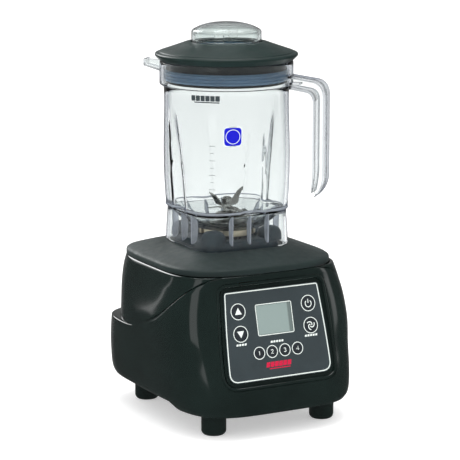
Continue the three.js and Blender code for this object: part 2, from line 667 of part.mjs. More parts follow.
// A pair of blades: flat at the hub, then each wing bent up (or down) and swept to a point.
function bladePair(z, bend, angle, reach, width) {
  const wing = (side) => {
    const rings = [];
    const stations = [[-0.1, 5.2, 5.2, 0], [8, width / 2, width / 2, 0], [12, width / 2, width / 2, 0.1],
      [reach * 0.72, width / 2 - 1, width / 2 - 2.6, 0.72], [reach, 0.6, -width * 0.1, 1]];
    for (const [x, ahead, behind, rise] of stations) {
      const lift = rise * (reach - 10) * Math.tan(bend);
      const flat = Math.cos(bend * (rise > 0 ? 1 : 0));
      const px = rise > 0 ? 10 + (x - 10) * flat : x;
      rings.push([
        new THREE.Vector3(px, -behind, z + lift), new THREE.Vector3(px, ahead, z + lift),
        new THREE.Vector3(px, ahead, z + lift + 1.6), new THREE.Vector3(px, -behind, z + lift + 1.6),
      ]);
    }
    return turnedBy(loft(rings), angle + side * Math.PI);
  };
  const hub = rod(7.5, z, z + 1.6, 14);
  return joined([hub, wing(0), wing(1)]).subtract(rod(3.4 + GAP, z - 5, z + 8, 14));
}

const BLADE_ANGLE = THREE.MathUtils.degToRad(12);
const bladeUpper = () => bladePair(238.6, THREE.MathUtils.degToRad(38), BLADE_ANGLE, BLADE_REACH - 2, 12);
const bladeLower = () => bladePair(234.8, THREE.MathUtils.degToRad(-12), BLADE_ANGLE + Math.PI / 2, BLADE_REACH, 12.5);
const bladeSpacer = () => ringOf(6, 3.4 + GAP, 236.7, 238.3, 14);

function bladeNut() {
  const z0 = 240.5;
  const hex = ringOf(6.4, 0, z0, z0 + 5.6, 6);
  const cap = turned([[0, z0 + 5], [5.2, z0 + 5], [4.2, z0 + 7.6], [0, SPINDLE_TOP_Z]], 14);
  return hex.add(cap).subtract(rod(3.4 + GAP, z0 - 1, SPINDLE_TOP_Z - 5.9, 14));
}

// ---------------------------------------------------------------- seat pad, plate and feet
function seatPad() {
  const plug = loft([squareRing(50.5, SEAT_Z + GAP, 4.5, 32), squareRing(49, SEAT_Z + 9, 4.5, 32)]);
  const earTop = JAR_FLOOR_Z - JAR_WALL + 3; // beside the jar's bowl
  const ears = [];
  for (let k = 0; k < 4; k++) {
    const ear = loft([
      squareRing(12.6, earTop - 16, 3.2, 16), squareRing(12.2, earTop - 7, 3.2, 16),
      squareRing(9.5, earTop - 1.5, 2.6, 16), squareRing(6, earTop, 2.4, 16),
    ]);
    const place = new THREE.Matrix4().makeTranslation(36.4, 36.4, 0);
    ears.push(turnedBy(moved(ear, place), (k * TURN) / 4));
  }
  return plug.add(joined(ears)).subtract(rod(NUT_RADIUS + 2.6, SEAT_Z + 3.5, 230)).subtract(rod(SOCKET_RADIUS + 3, 190, 230));
}

function basePlate() {
  const ring = { ...LOWER[1], z: PLATE_Z };
  const inset = WALL + 4 * GAP;
  const outside = loft([baseRing(ring, inset), baseRing(ring, inset, PLATE_THICKNESS)]);
  const slots = [];
  for (let k = -3; k <= 3; k++) slots.push(box(5, 60, 20, [k * 11, AXIS_Y - 6, PLATE_Z]));
  const holes = FEET.map(([, x, y]) =>
    moved(rod(3.2, PLATE_Z - 5, PLATE_Z + 10, 12), new THREE.Matrix4().makeTranslation(x, y, 0)));
  return outside.subtract(joined(slots)).subtract(joined(holes));
}

const FEET = [
  ["front_left", FOOT_SIDE_INSET - HALF, FOOT_FRONT_INSET - FRONT],
  ["front_right", HALF - FOOT_SIDE_INSET, FOOT_FRONT_INSET - FRONT],
  ["rear_left", FOOT_SIDE_INSET - HALF, FRONT - FOOT_REAR_INSET],
  ["rear_right", HALF - FOOT_SIDE_INSET, FRONT - FOOT_REAR_INSET],
];
const foot = () => turned([[5.6, 0], [FOOT_RADIUS - 1.5, 0], [FOOT_RADIUS, 1.5], [FOOT_RADIUS, PLATE_Z - GAP],
  [2.9, PLATE_Z - GAP], [2.9, 12], [5.6, 12], [5.6, 0]], 20);
const footScrew = () => turned([[0, 9], [4.8, 9], [4.8, 11.7], [2.4, 11.7], [2.4, PLATE_Z + 5], [0, PLATE_Z + 5]], 12);

// ---------------------------------------------------------------- control panel
function frontBezel() {
  const behind = -7;
  const frame = outerLower.intersect(bezelPrism(0, behind, 40));
  const pocket = onPanel(plate(panelShape(BEZEL_BORDER - 4), -MEMBRANE - GAP, 40));
  const throat = onPanel(plate(panelShape(-3.5), -40, 40));
  return frame.subtract(pocket).subtract(throat);
}

const KEY_SIDES = 14;
const keyHole = (x, y, radius) => moved(rod(radius, -30, 30, KEY_SIDES), new THREE.Matrix4().makeTranslation(x, y, 0));

function controlMembrane() {
  const holes = KEYS.map(([, x, y, radius]) => keyHole(x, y, radius + GAP));
  const window = box(LCD_WIDTH + 2 * GAP, LCD_HEIGHT + 2 * GAP, 60, [0, LCD_Y, 0]);
  return onPanel(plate(panelShape(0), -MEMBRANE, 0, 8).subtract(joined(holes)).subtract(window));
}

const key = (x, y, radius) =>
  onPanel(moved(turned([[0, -2.3], [radius + 1, -2.3], [radius + 1, -1.7], [radius, -1.7], [radius, 0.2],
    [0, 0.2]], KEY_SIDES), new THREE.Matrix4().makeTranslation(x, y, 0)));

const lcdWindow = () => onPanel(box(LCD_WIDTH, LCD_HEIGHT, 1.6, [0, LCD_Y, -0.9]));
const lcdModule = () => onPanel(box(LCD_WIDTH + 6, LCD_HEIGHT + 6, 2.4, [0, LCD_Y, -3.4]));
const controlBoard = () => onPanel(plate(panelShape(-7), -7, -5.4, 4));

// ---------------------------------------------------------------- motor
const motorStator = () => {
  const core = ringOf(STATOR_RADIUS, 27, STATOR_BOTTOM_Z + 14, STATOR_TOP_Z - 14, ROUND);
  const coils = ringOf(38, 28, STATOR_BOTTOM_Z, STATOR_TOP_Z, ROUND);
  const arch = [];
  for (const s of [-1, 1]) arch.push(box(22, 90, 90, [s * 44, 0, STATOR_BOTTOM_Z - 31]));
  return core.add(coils.subtract(joined(arch)));
};
const rotorCore = () => ringOf(25, SHAFT_RADIUS + GAP, STATOR_BOTTOM_Z + 16, STATOR_TOP_Z - 16);
const commutator = () => ringOf(12, SHAFT_RADIUS + GAP, STATOR_BOTTOM_Z - 8, STATOR_BOTTOM_Z + 8, 16);
const motorShaft = () => rod(SHAFT_RADIUS, 42, 188.2, 16);
const motorBracket = (z, up) => {
  const spider = box(2 * STATOR_RADIUS + 8, 18, 5, [0, 0, z + 2.5]).add(rod(15, z, z + 5, ROUND));
  const cup = ringOf(13.5, 11.2, up ? z + 5 : z - 9, up ? z + 14 : z, ROUND);
  const body = spider.add(cup).add(ringOf(14, 11.2, z, z + 5));
  return body.subtract(rod(up ? SHAFT_RADIUS + 1.5 : 11.2, z - 20, z + 30, 16));
};
const motorBearing = (z) => ringOf(10.9, SHAFT_RADIUS + GAP, z, z + 8, 16);

const FAN_RADIUS = 38;
function coolingFan() {
  const blades = [];
  for (let k = 0; k < 9; k++) {
    blades.push(turnedBy(box(FAN_RADIUS - 10, 1.8, 11, [FAN_RADIUS / 2 + 4, 0, 48.5]), (k * TURN) / 9));
  }
  const hub = rod(10, 42.5, 54, 16);
  const disc = rod(FAN_RADIUS, 53, 55, 28);
  return joined([hub, disc, ...blades]).subtract(rod(SHAFT_RADIUS + GAP, 30, 70, 16));
}

const brush = (side) => box(14, 6.5, 9, [side * (12.6 + 7), 0, STATOR_BOTTOM_Z - 1]);
const motorTray = () => {
  const disc = ringOf(58, FAN_RADIUS + 2, 56.5, 60, 28);
  const legs = [];
  for (let k = 0; k < 4; k++) {
    const leg = rod(5, PLATE_Z + PLATE_THICKNESS + GAP, 60, 12);
    legs.push(turnedBy(moved(leg, new THREE.Matrix4().makeTranslation(51, 0, 0)), TURN / 8 + (k * TURN) / 4));
  }
  return disc.add(joined(legs));
};

// A hollow gland: a flange inside the rear wall, and a neck through the hole.
function cordGland() {
  const neck = GLAND_RADIUS - 2 - GAP;
  const body = turned([[4, -8], [GLAND_RADIUS + 2, -8], [GLAND_RADIUS + 2, 0], [neck, 0], [neck, 5], [4, 5],
    [4, -8]], 20);
  return moved(body, new THREE.Matrix4().makeRotationX(-Math.PI / 2).setPosition(0, GLAND_Y, GLAND_Z));
}

// ---------------------------------------------------------------- assembly
const blender = new THREE.Group();
const onAxis = new THREE.Group();
onAxis.position.y = AXIS_Y;
blender.add(onAxis);

function add(group, name, body, material) {
  const mesh = new THREE.Mesh(geometryOf(body), material);
  mesh.name = name;
  group.add(mesh);
  return mesh;
}

add(blender, "lower_housing", lowerHousing(), GLOSS_BLACK);
add(blender, "upper_housing", upperHousing(), GLOSS_BLACK);
add(blender, "top_deck", topDeck(), SOFT_BLACK);
add(blender, "front_bezel", frontBezel(), GLOSS_BLACK);
add(blender, "base_plate", basePlate(), RUBBER);
add(blender, "cord_gland", cordGland(), RUBBER);
for (const [name, x, y] of FEET) {
  add(blender, "foot_" + name, foot(), RUBBER).position.set(x, y, 0);
  add(blender, "foot_screw_" + name, footScrew(), STEEL).position.set(x, y, 0);
}
add(blender, "control_membrane", controlMembrane(), MEMBRANE_GREY);
add(blender, "lcd_window", lcdWindow(), DISPLAY);
add(blender, "lcd_module", lcdModule(), CARBON);
add(blender, "control_board", controlBoard(), BOARD);
for (const [name, x, y, radius] of KEYS) add(blender, name, key(x, y, radius), KEY_GREY);

add(onAxis, "seat_pad", seatPad(), RUBBER);
add(onAxis, "motor_stator", motorStator(), COPPER);
add(onAxis, "motor_bracket_upper", motorBracket(STATOR_TOP_Z + GAP, true), ALUMINIUM);
add(onAxis, "motor_bearing_upper", motorBearing(STATOR_TOP_Z + 5.6), STEEL);
add(onAxis, "motor_tray", motorTray(), ALUMINIUM);
add(onAxis, "carbon_brush_left", brush(-1), CARBON);
add(onAxis, "carbon_brush_right", brush(1), CARBON);
add(onAxis, "rotor_core", rotorCore(), IRON);
add(onAxis, "commutator", commutator(), COPPER);
add(onAxis, "motor_shaft", motorShaft(), STEEL);
add(onAxis, "cooling_fan", coolingFan(), ALUMINIUM);
add(onAxis, "drive_socket", driveSocket(), STEEL);

for (const [name, body] of Object.entries(jarPieces())) add(onAxis, "jar_" + name, body, CLEAR);
add(onAxis, "jar_skirt", jarSkirt(), CLEAR);
for (const [name, body] of Object.entries(jarHandle())) add(onAxis, "jar_" + name, body, CLEAR);
add(onAxis, "bearing_housing", bearingHousing(), STEEL);
add(onAxis, "retainer_nut", retainerNut(), BEIGE_STEEL);
add(onAxis, "jar_bearing_lower", jarBearing(206.5), STEEL);
add(onAxis, "jar_bearing_upper", jarBearing(217), STEEL);
add(onAxis, "blade_shaft", bladeShaft(), STEEL);
add(onAxis, "drive_spline", driveSpline(), STEEL);
add(onAxis, "blade_lower", bladeLower(), STEEL);
add(onAxis, "blade_spacer", bladeSpacer(), STEEL);
add(onAxis, "blade_upper", bladeUpper(), STEEL);
add(onAxis, "blade_nut", bladeNut(), STEEL);

add(onAxis, "lid", lidBody(), SOFT_BLACK);
add(onAxis, "lid_gasket", lidGasket(), SILICONE);
add(onAxis, "cap_seal", capSeal(), SILICONE);
add(onAxis, "lid_cap", lidCap(), CLEAR);

export default blender;
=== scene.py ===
import math

import bmesh
import bpy
from bpy.props import FloatProperty, FloatVectorProperty, IntProperty, PointerProperty
from mathutils import Matrix, Vector
from mathutils.bvhtree import BVHTree
from mathutils.geometry import tessellate_polygon


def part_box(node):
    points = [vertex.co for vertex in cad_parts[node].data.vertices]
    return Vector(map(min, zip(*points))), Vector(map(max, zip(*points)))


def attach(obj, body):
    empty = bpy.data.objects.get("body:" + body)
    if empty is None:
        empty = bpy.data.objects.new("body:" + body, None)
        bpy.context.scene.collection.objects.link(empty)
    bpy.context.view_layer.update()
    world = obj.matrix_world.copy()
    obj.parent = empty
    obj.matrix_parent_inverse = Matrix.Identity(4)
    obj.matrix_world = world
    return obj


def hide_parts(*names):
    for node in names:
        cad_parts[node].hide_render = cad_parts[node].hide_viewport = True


bl_info = {
    "name": "Countertop blender",
    "version": (1, 0, 0),
    "blender": (4, 5, 0),
    "location": "3D View > Sidebar > Countertop blender",
    "description": "Builds the visible pieces of a countertop blender round its packed model",
    "category": "Object",
}

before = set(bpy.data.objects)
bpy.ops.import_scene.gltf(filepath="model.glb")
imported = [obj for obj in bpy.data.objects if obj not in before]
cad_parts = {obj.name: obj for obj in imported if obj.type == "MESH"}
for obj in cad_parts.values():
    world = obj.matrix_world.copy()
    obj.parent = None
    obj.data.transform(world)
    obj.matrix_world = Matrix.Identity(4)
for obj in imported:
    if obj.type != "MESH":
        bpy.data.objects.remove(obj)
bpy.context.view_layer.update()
MM = 0.001


# ---------------------------------------------------------------- numbers and colours
def mix(a, b, t):
    """The value a share t of the way from a to b."""
    return a + (b - a) * t


def clamp(t):
    """A value held between 0 and 1."""
    return min(1.0, max(0.0, t))


def smooth(t):
    """An even step from 0 to 1 that starts and ends level."""
    return clamp(t) ** 2 * (3 - 2 * clamp(t))


def srgb(code):
    """A hex colour such as #3a4243 as linear red, green, blue and alpha."""
    values = [int(code[i:i + 2], 16) / 255 for i in (1, 3, 5)]
    return tuple(v / 12.92 if v < 0.04045 else ((v + 0.055) / 1.055) ** 2.4 for v in values) + (1.0,)


def corners(node):
    """A frame node's lowest and highest corners in millimetres."""
    low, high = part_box(node)
    return low / MM, high / MM


SHAFT_LOW, SHAFT_HIGH = corners("motor_shaft")
AXIS_Y = (SHAFT_LOW.y + SHAFT_HIGH.y) / 2  # the drive axis stands behind the middle of the base
LOWER_LOW, LOWER_HIGH = corners("lower_housing")
HALF = LOWER_HIGH.x
FRONT = -LOWER_LOW.y
SKIRT_Z = LOWER_LOW.z
RIM_Z = LOWER_HIGH.z
DECK_LOW, DECK_HIGH = corners("top_deck")
SEAT_Z = DECK_HIGH.z
JAR_TOP_Z = corners("jar_collar")[1].z


class BlenderColours(bpy.types.PropertyGroup):
    """Colours of the finishes."""
    def colour(label, code):
        return FloatVectorProperty(name=label, description=f"Colour of the {label.lower()}", subtype="COLOR",
                                   size=4, min=0, max=1, default=srgb(code))

    housing: colour("Gloss housing", "#141e1c")
    deck: colour("Soft-touch deck", "#1d2c2b")
    lid: colour("Rubber lid", "#1d2d2b")
    rubber: colour("Rubber fittings", "#121a1b")
    film: colour("Panel film", "#343f43")
    key: colour("Key film", "#262d33")
    ink: colour("White ink", "#e4ece7")
    mark: colour("Red mark", "#c71a40")
    display: colour("Display", "#8b9a97")
    clear: colour("Clear moulding", "#ebeeed")
    gasket: colour("Gasket", "#7f9fbd")
    steel: colour("Stainless steel", "#a3a39f")
    nut: colour("Plated nut", "#c9bfa8")
    sticker: colour("Jar sticker", "#0b10c4")


class BlenderSizes(bpy.types.PropertyGroup):
    """Sizes that change the look but not the fit."""
    sides: IntProperty(name="Sides", description="Points round a large piece", default=160, min=64, max=320)
    edge: FloatProperty(name="Edge rounding", description="Rounding of the housing's edges, in millimetres",
                        default=1.2, min=0.3, max=2.0)
    print_height: FloatProperty(name="Ink height", description="How far printed ink stands up, in millimetres",
                                default=0.07, min=0.02, max=0.2)
    handle_flange: FloatProperty(name="Handle flange", description="Thickness of the grip's flanges, in millimetres",
                                 default=2.6, min=1.5, max=4.0)


def colours():
    return bpy.context.scene.blender_colours


def sizes():
    return bpy.context.scene.blender_sizes


# ---------------------------------------------------------------- meshes
def new_piece(name, points, faces, finish, body, replaced=(), slot=None, sharp=38, indices=None):
    """A piece from points in millimetres, with its finish, its body and the frame nodes it stands for."""
    mesh = bpy.data.meshes.new(name)
    mesh.from_pydata([tuple(c * MM for c in p) for p in points], [], faces)
    for material in finish if isinstance(finish, (list, tuple)) else [finish]:
        mesh.materials.append(material)
    if indices:
        mesh.polygons.foreach_set("material_index", indices)
    piece = bpy.data.objects.new(name, mesh)
    bpy.context.scene.collection.objects.link(piece)
    tidy_mesh(piece, sharp)
    if body:
        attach(piece, body)
        if replaced:
            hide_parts(*replaced)
    return piece


def tidy_mesh(piece, sharp=38):
    """Merges coincident points, turns the faces outward and shades smooth up to an angle."""
    work = bmesh.new()
    work.from_mesh(piece.data)
    bmesh.ops.remove_doubles(work, verts=work.verts, dist=1e-6)
    bmesh.ops.dissolve_degenerate(work, edges=work.edges, dist=1e-7)
    bmesh.ops.recalc_face_normals(work, faces=work.faces)
    work.to_mesh(piece.data)
    work.free()
    piece.data.shade_smooth()
    piece.data.set_sharp_from_angle(angle=math.radians(sharp))


def combine(piece, other, operation):
    """Joins another closed mesh to the piece or cuts it away, and drops the other."""
    modifier = piece.modifiers.new("combine", "BOOLEAN")
    modifier.object = other
    modifier.operation = operation
    modifier.solver = "EXACT"
    bpy.context.view_layer.update()
    result = bpy.data.meshes.new_from_object(piece.evaluated_get(bpy.context.evaluated_depsgraph_get()))
    piece.modifiers.clear()
    old = piece.data
    result.name = old.name
    piece.data = result
    bpy.data.meshes.remove(old)
    bpy.data.objects.remove(other)


def cutter(points, faces):
    """A closed mesh that only cuts or joins."""
    return new_piece("tool", points, faces, [], None)


def worn_edges(piece, width, segments=3, name="worn edges"):
    """Breaks a piece's sharp edges by a width in millimetres."""
    bevel = piece.modifiers.new(name, "BEVEL")
    bevel.width, bevel.segments, bevel.limit_method = width * MM, segments, "ANGLE"


def skin(rings, close=False, caps=True):
    """Points and faces through rings of points: a closed tube, or a band that closes on itself."""
    count = len(rings[0])
    points = [p for ring in rings for p in ring]
    faces = []
    steps = len(rings) if close else len(rings) - 1
    for k in range(steps):
        a, b = k * count, ((k + 1) % len(rings)) * count
        for i in range(count):
            j = (i + 1) % count
            faces.append((a + i, a + j, b + j, b + i))
    if caps and not close:
        faces.append(tuple(reversed(range(count))))
        faces.append(tuple(range((len(rings) - 1) * count, len(rings) * count)))
    return points, faces


def rounded(profile, radius, steps=4):
    """A closed outline of (r, z) corners, or (r, z, own radius), with each corner rounded."""
    result = []
    for i, corner in enumerate(profile):
        here = Vector(corner[:2])
        own = corner[2] if len(corner) > 2 else radius
        before = Vector(profile[i - 1][:2]) - here
        after = Vector(profile[(i + 1) % len(profile)][:2]) - here
        reach = min(own, before.length * 0.45, after.length * 0.45)
        if reach < 0.02 or before.length < 1e-6 or after.length < 1e-6:
            result.append(tuple(here))
            continue
        start, end = here + before.normalized() * reach, here + after.normalized() * reach
        for k in range(steps + 1):
            t = k / steps
            result.append(tuple((1 - t) ** 2 * start + 2 * t * (1 - t) * here + t * t * end))
    return result


def turned(profile, sides, centre=(0.0, 0.0), radius=0.5, steps=4):
    """Points and faces of a turned piece from a closed outline of (r, z) corners."""
    outline = rounded(profile, radius, steps)
    rings = []
    for k in range(sides):
        angle = k / sides * math.tau
        c, s = math.cos(angle), math.sin(angle)
        rings.append([(centre[0] + r * c, centre[1] + r * s, z) for r, z in outline])
    return skin(rings, close=True)


def square_ring(half, z, power=4.0, count=0, centre=None):
    """A rounded square ring, round at power 2, about the drive axis or another centre."""
    count = count or sizes().sides
    cx, cy = centre or (0.0, AXIS_Y)
    ring = []
    for i in range(count):
        t = i / count * math.tau
        c, s = math.cos(t), math.sin(t)
        size = half * (abs(c) ** power + abs(s) ** power) ** (-1 / power)
        ring.append((cx + c * size, cy + s * size, z))
    return ring


def ribbon(path, width, z0, z1, closed=True):
    """A flat strip of ink along a path of (x, y), with square edges."""
    count = len(path)
    rings = []
    for i in range(count):
        before = Vector(path[i - 1]) if closed or i else Vector(path[0])
        after = Vector(path[(i + 1) % count]) if closed or i < count - 1 else Vector(path[-1])
        along = (after - before).normalized()
        side = Vector((along.y, -along.x)) * width / 2
        a, b = Vector(path[i]) + side, Vector(path[i]) - side
        rings.append([(a.x, a.y, z0), (b.x, b.y, z0), (b.x, b.y, z1), (a.x, a.y, z1)])
    return skin(rings, close=closed)


def slab(outline, z0, z1, holes=()):
    """A flat plate of an outline with holes."""
    loops = [list(outline)] + [list(reversed(h)) for h in holes]
    flat = [p for loop in loops for p in loop]
    top = [tuple(t) for t in tessellate_polygon([[Vector((x, y, 0)) for x, y in loop] for loop in loops])]
    count = len(flat)
    points = [(x, y, z0) for x, y in flat] + [(x, y, z1) for x, y in flat]
    faces = [tuple(i + count for i in t) for t in top] + [tuple(reversed(t)) for t in top]
    start = 0
    for loop in loops:
        for i in range(len(loop)):
            a, b = start + i, start + (i + 1) % len(loop)
            faces.append((a, b, b + count, a + count))
        start += len(loop)
    return points, faces


def disc_outline(x, y, radius, sides=64):
    """A circle of (x, y) points, anticlockwise."""
    return [(x + radius * math.cos(k / sides * math.tau), y + radius * math.sin(k / sides * math.tau))
            for k in range(sides)]


def box_outline(x, y, width, height, radius=1.0, steps=5):
    """A rounded rectangle of (x, y) points, anticlockwise."""
    outline = []
    for cx, cy, start in ((1, -1, -90), (1, 1, 0), (-1, 1, 90), (-1, -1, 180)):
        for k in range(steps + 1):
            angle = math.radians(start + 90 * k / steps)
            outline.append((x + cx * (width / 2 - radius) + radius * math.cos(angle),
                            y + cy * (height / 2 - radius) + radius * math.sin(angle)))
    return outline


def gathered(parts):
    """Several (points, faces) as one, with the number of each part on its faces."""
    points, faces, numbers = [], [], []
    for number, (some, over) in parts:
        start = len(points)
        points += some
        faces += [tuple(i + start for i in f) for f in over]
        numbers += [number] * len(over)
    return points, faces, numbers


# ---------------------------------------------------------------- materials
def add_node(tree, kind, inputs=None, **settings):
    """A node with its settings, and its inputs set or linked."""
    node = tree.nodes.new(kind)
    for key, value in settings.items():
        setattr(node, key, value)
    for key, value in (inputs or {}).items():
        if isinstance(value, bpy.types.NodeSocket):
            tree.links.new(value, node.inputs[key])
        else:
            node.inputs[key].default_value = value
    return node


def surface(name, **values):
    """A material with one Principled shader, and the tree to add its pattern to."""
    known = bpy.data.materials.get(name)
    if known:
        return known, None, None
    material = bpy.data.materials.new(name)
    material.use_nodes = True
    tree = material.node_tree
    shader = tree.nodes["Principled BSDF"]
    for key, value in values.items():
        shader.inputs[key.replace("_", " ")].default_value = value
    return material, tree, shader


def grain(tree, shader, size_mm, depth_mm, roughness=None, detail=3.0, stretch=(1, 1, 1)):
    """A moulded or ground grain of a real size: bump, and roughness between two values. Returns
    the node of coordinates."""
    place = add_node(tree, "ShaderNodeTexCoord")
    scaled = add_node(tree, "ShaderNodeMapping", {"Vector": place.outputs["Object"], "Scale": stretch})
    noise = add_node(tree, "ShaderNodeTexNoise",
                     {"Vector": scaled.outputs["Vector"], "Scale": 1 / (size_mm * MM), "Detail": detail})
    bump = add_node(tree, "ShaderNodeBump",
                    {"Height": noise.outputs["Fac"], "Distance": depth_mm * MM, "Strength": 1.0})
    tree.links.new(bump.outputs["Normal"], shader.inputs["Normal"])
    if roughness:
        wear = add_node(tree, "ShaderNodeTexNoise",
                        {"Vector": place.outputs["Object"], "Scale": 1 / (size_mm * 18 * MM), "Detail": 5.0})
        spread = add_node(tree, "ShaderNodeMapRange", {"Value": wear.outputs["Fac"], "From Min": 0.3,
                          "From Max": 0.7, "To Min": roughness[0], "To Max": roughness[1]})
        tree.links.new(spread.outputs["Result"], shader.inputs["Roughness"])
    return place


def tint(tree, shader, vector, size_mm, low, high):
    """Colour that drifts a little between two shades over a real distance."""
    drift = add_node(tree, "ShaderNodeTexNoise", {"Vector": vector, "Scale": 1 / (size_mm * MM), "Detail": 4.0})
    ramp = add_node(tree, "ShaderNodeValToRGB", {"Fac": drift.outputs["Fac"]})
    ramp.color_ramp.elements[0].position, ramp.color_ramp.elements[1].position = 0.35, 0.68
    ramp.color_ramp.elements[0].color, ramp.color_ramp.elements[1].color = low, high
    tree.links.new(ramp.outputs["Color"], shader.inputs["Base Color"])


def shade(colour, factor):
    """A colour made darker or lighter by a factor."""
    return tuple(c * factor for c in colour[:3]) + (1.0,)


def gloss_abs():
    # ABS moulded against a polished tool: near-black body colour under a clean, slightly
    # rippled gloss, so that lights show as narrow soft bands.
    m, tree, shader = surface("gloss moulded ABS", Roughness=0.13, IOR=1.54, Coat_Weight=0.25,
                              Coat_Roughness=0.05)
    if tree:
        place = grain(tree, shader, 9.0, 0.006, (0.09, 0.17))
        base = tuple(colours().housing)
        tint(tree, shader, place.outputs["Object"], 60, shade(base, 0.85), shade(base, 1.2))
    return m


def soft_touch():
    # Soft-touch paint over moulded ABS: a dry, even near-black that spreads every highlight.
    m, tree, shader = surface("soft-touch painted ABS", Roughness=0.5, IOR=1.48, Specular_IOR_Level=0.36,
                              Sheen_Weight=0.05, Sheen_Roughness=0.5)
    if tree:
        # The real grain is about 0.15 mm; it is drawn at 0.5 mm so that it shows.
        place = grain(tree, shader, 0.5, 0.03, (0.44, 0.58))
        base = tuple(colours().deck)
        tint(tree, shader, place.outputs["Object"], 45, shade(base, 0.92), shade(base, 1.08))
    return m


def lid_rubber():
    # Thermoplastic elastomer, moulded in a lightly blasted tool: dark, with a waxy shine.
    m, tree, shader = surface("moulded thermoplastic rubber", Roughness=0.36, IOR=1.5,
                              Specular_IOR_Level=0.34)
    if tree:
        place = grain(tree, shader, 0.7, 0.02, (0.3, 0.44))
        base = tuple(colours().lid)
        tint(tree, shader, place.outputs["Object"], 30, shade(base, 0.9), shade(base, 1.12))
    return m


def fitting_rubber(name="cured black rubber", colour=None):
    # Cured rubber for the seat, the gland and the tray: dull, with a fine grain. The lid's plug takes it too, darker
    # than the lid, as painted shade inside the jar.
    m, tree, shader = surface(name, Roughness=0.55, IOR=1.52, Specular_IOR_Level=0.3)
    if tree:
        place = grain(tree, shader, 0.6, 0.03, (0.48, 0.62))
        base = colour or tuple(colours().rubber)
        tint(tree, shader, place.outputs["Object"], 25, shade(base, 0.85), shade(base, 1.2))
    return m


# The edge colour is the wall's grey-blue depth, darkened further as a painted reflection of the dim room.
def clear_copolyester(name="moulded copolyester", colour=None, edge=srgb("#3f4a63"), density=22.0):
    # Copolyester moulded in a polished tool: water-clear walls with faint flow ripples, which
    # darken only where they are seen edge on. The real index is about 1.57. It is drawn at 1.33,
    # since inner reflections would otherwise turn thick corners black.
    m, tree, shader = surface(name, Base_Color=colour or tuple(colours().clear), Roughness=0.01,
                              IOR=1.33, Transmission_Weight=1.0)
    if tree:
        grain(tree, shader, 22.0, 0.0012, None, 1.0, (1, 1, 0.25))
        # Seen edge on, the wall is long to look through and takes on a grey-blue depth; the darker grey-blue there
        # is also a painted reflection of the dim room that an edge-on wall mirrors.
        facing = add_node(tree, "ShaderNodeLayerWeight", {"Blend": 0.5})
        depth_and_painted_reflection_ramp = add_node(tree, "ShaderNodeValToRGB", {"Fac": facing.outputs["Facing"]})
        depth_and_painted_reflection_ramp.color_ramp.elements[0].position, depth_and_painted_reflection_ramp.color_ramp.elements[1].position = 0.55, 0.9
        depth_and_painted_reflection_ramp.color_ramp.elements[0].color = colour or tuple(colours().clear)
        depth_and_painted_reflection_ramp.color_ramp.elements[1].color = edge
        tree.links.new(depth_and_painted_reflection_ramp.outputs["Color"], shader.inputs["Base Color"])
        # Lamps shine straight through it, as they do through a thin clear wall.
        through = add_node(tree, "ShaderNodeBsdfTransparent", {"Color": (1, 1, 1, 1)})
        path = add_node(tree, "ShaderNodeLightPath")
        both = add_node(tree, "ShaderNodeMixShader", {0: path.outputs["Is Shadow Ray"],
                        1: shader.outputs[0], 2: through.outputs[0]})
        tree.links.new(both.outputs[0], tree.nodes["Material Output"].inputs["Surface"])
        # A thick corner takes more of the light than a thin wall.
        depth_tint = add_node(tree, "ShaderNodeVolumeAbsorption",
                              {"Color": (0.22, 0.26, 0.34, 1), "Density": density})
        tree.links.new(depth_tint.outputs[0], tree.nodes["Material Output"].inputs["Volume"])
    return m


def satin_copolyester():
    # Copolyester against a blasted tool face: the skirt's ribs and ring carry light along them
    # and show as a pale blue-grey haze. It is drawn paler than the wall that they are moulded
    # with, in place of that light.
    m, tree, shader = surface("satin moulded copolyester", Roughness=0.22, IOR=1.4, Transmission_Weight=0.5)
    if tree:
        place = grain(tree, shader, 0.8, 0.01)
        base = srgb("#eaf0fb")
        tint(tree, shader, place.outputs["Object"], 12, shade(base, 0.8), base)
    return m


def gasket_silicone():
    # Translucent silicone, pressed in a ground tool: milky blue-grey, lighter at its thin fins.
    m, tree, shader = surface("pressed silicone", Roughness=0.28, IOR=1.41, Transmission_Weight=0.15)
    if tree:
        place = grain(tree, shader, 0.8, 0.01)
        base = tuple(colours().gasket)
        tint(tree, shader, place.outputs["Object"], 25, shade(base, 0.85), base)
    return m


def panel_film(name="printed polycarbonate film", key=False):
    # Velvet polycarbonate film, printed on its back: a flat grey with a fine dry texture.
    m, tree, shader = surface(name, Roughness=0.42, IOR=1.58)
    if tree:
        # The film's velvet is 0.05 mm; it is drawn at 0.35 mm so that it shows.
        place = grain(tree, shader, 0.35, 0.012, (0.36, 0.48))
        base = tuple(colours().key if key else colours().film)
        tint(tree, shader, place.outputs["Object"], 20, shade(base, 0.94), shade(base, 1.06))
    return m


def ink(name, colour):
    # Screen-printed ink: opaque and even, with a faint mesh texture at its 0.3 mm thread spacing.
    m, tree, shader = surface(name, Roughness=0.4, IOR=1.5, Specular_IOR_Level=0.2)
    if tree:
        place = grain(tree, shader, 0.3, 0.006)
        tint(tree, shader, place.outputs["Object"], 3, shade(colour, 0.95), colour)
    return m


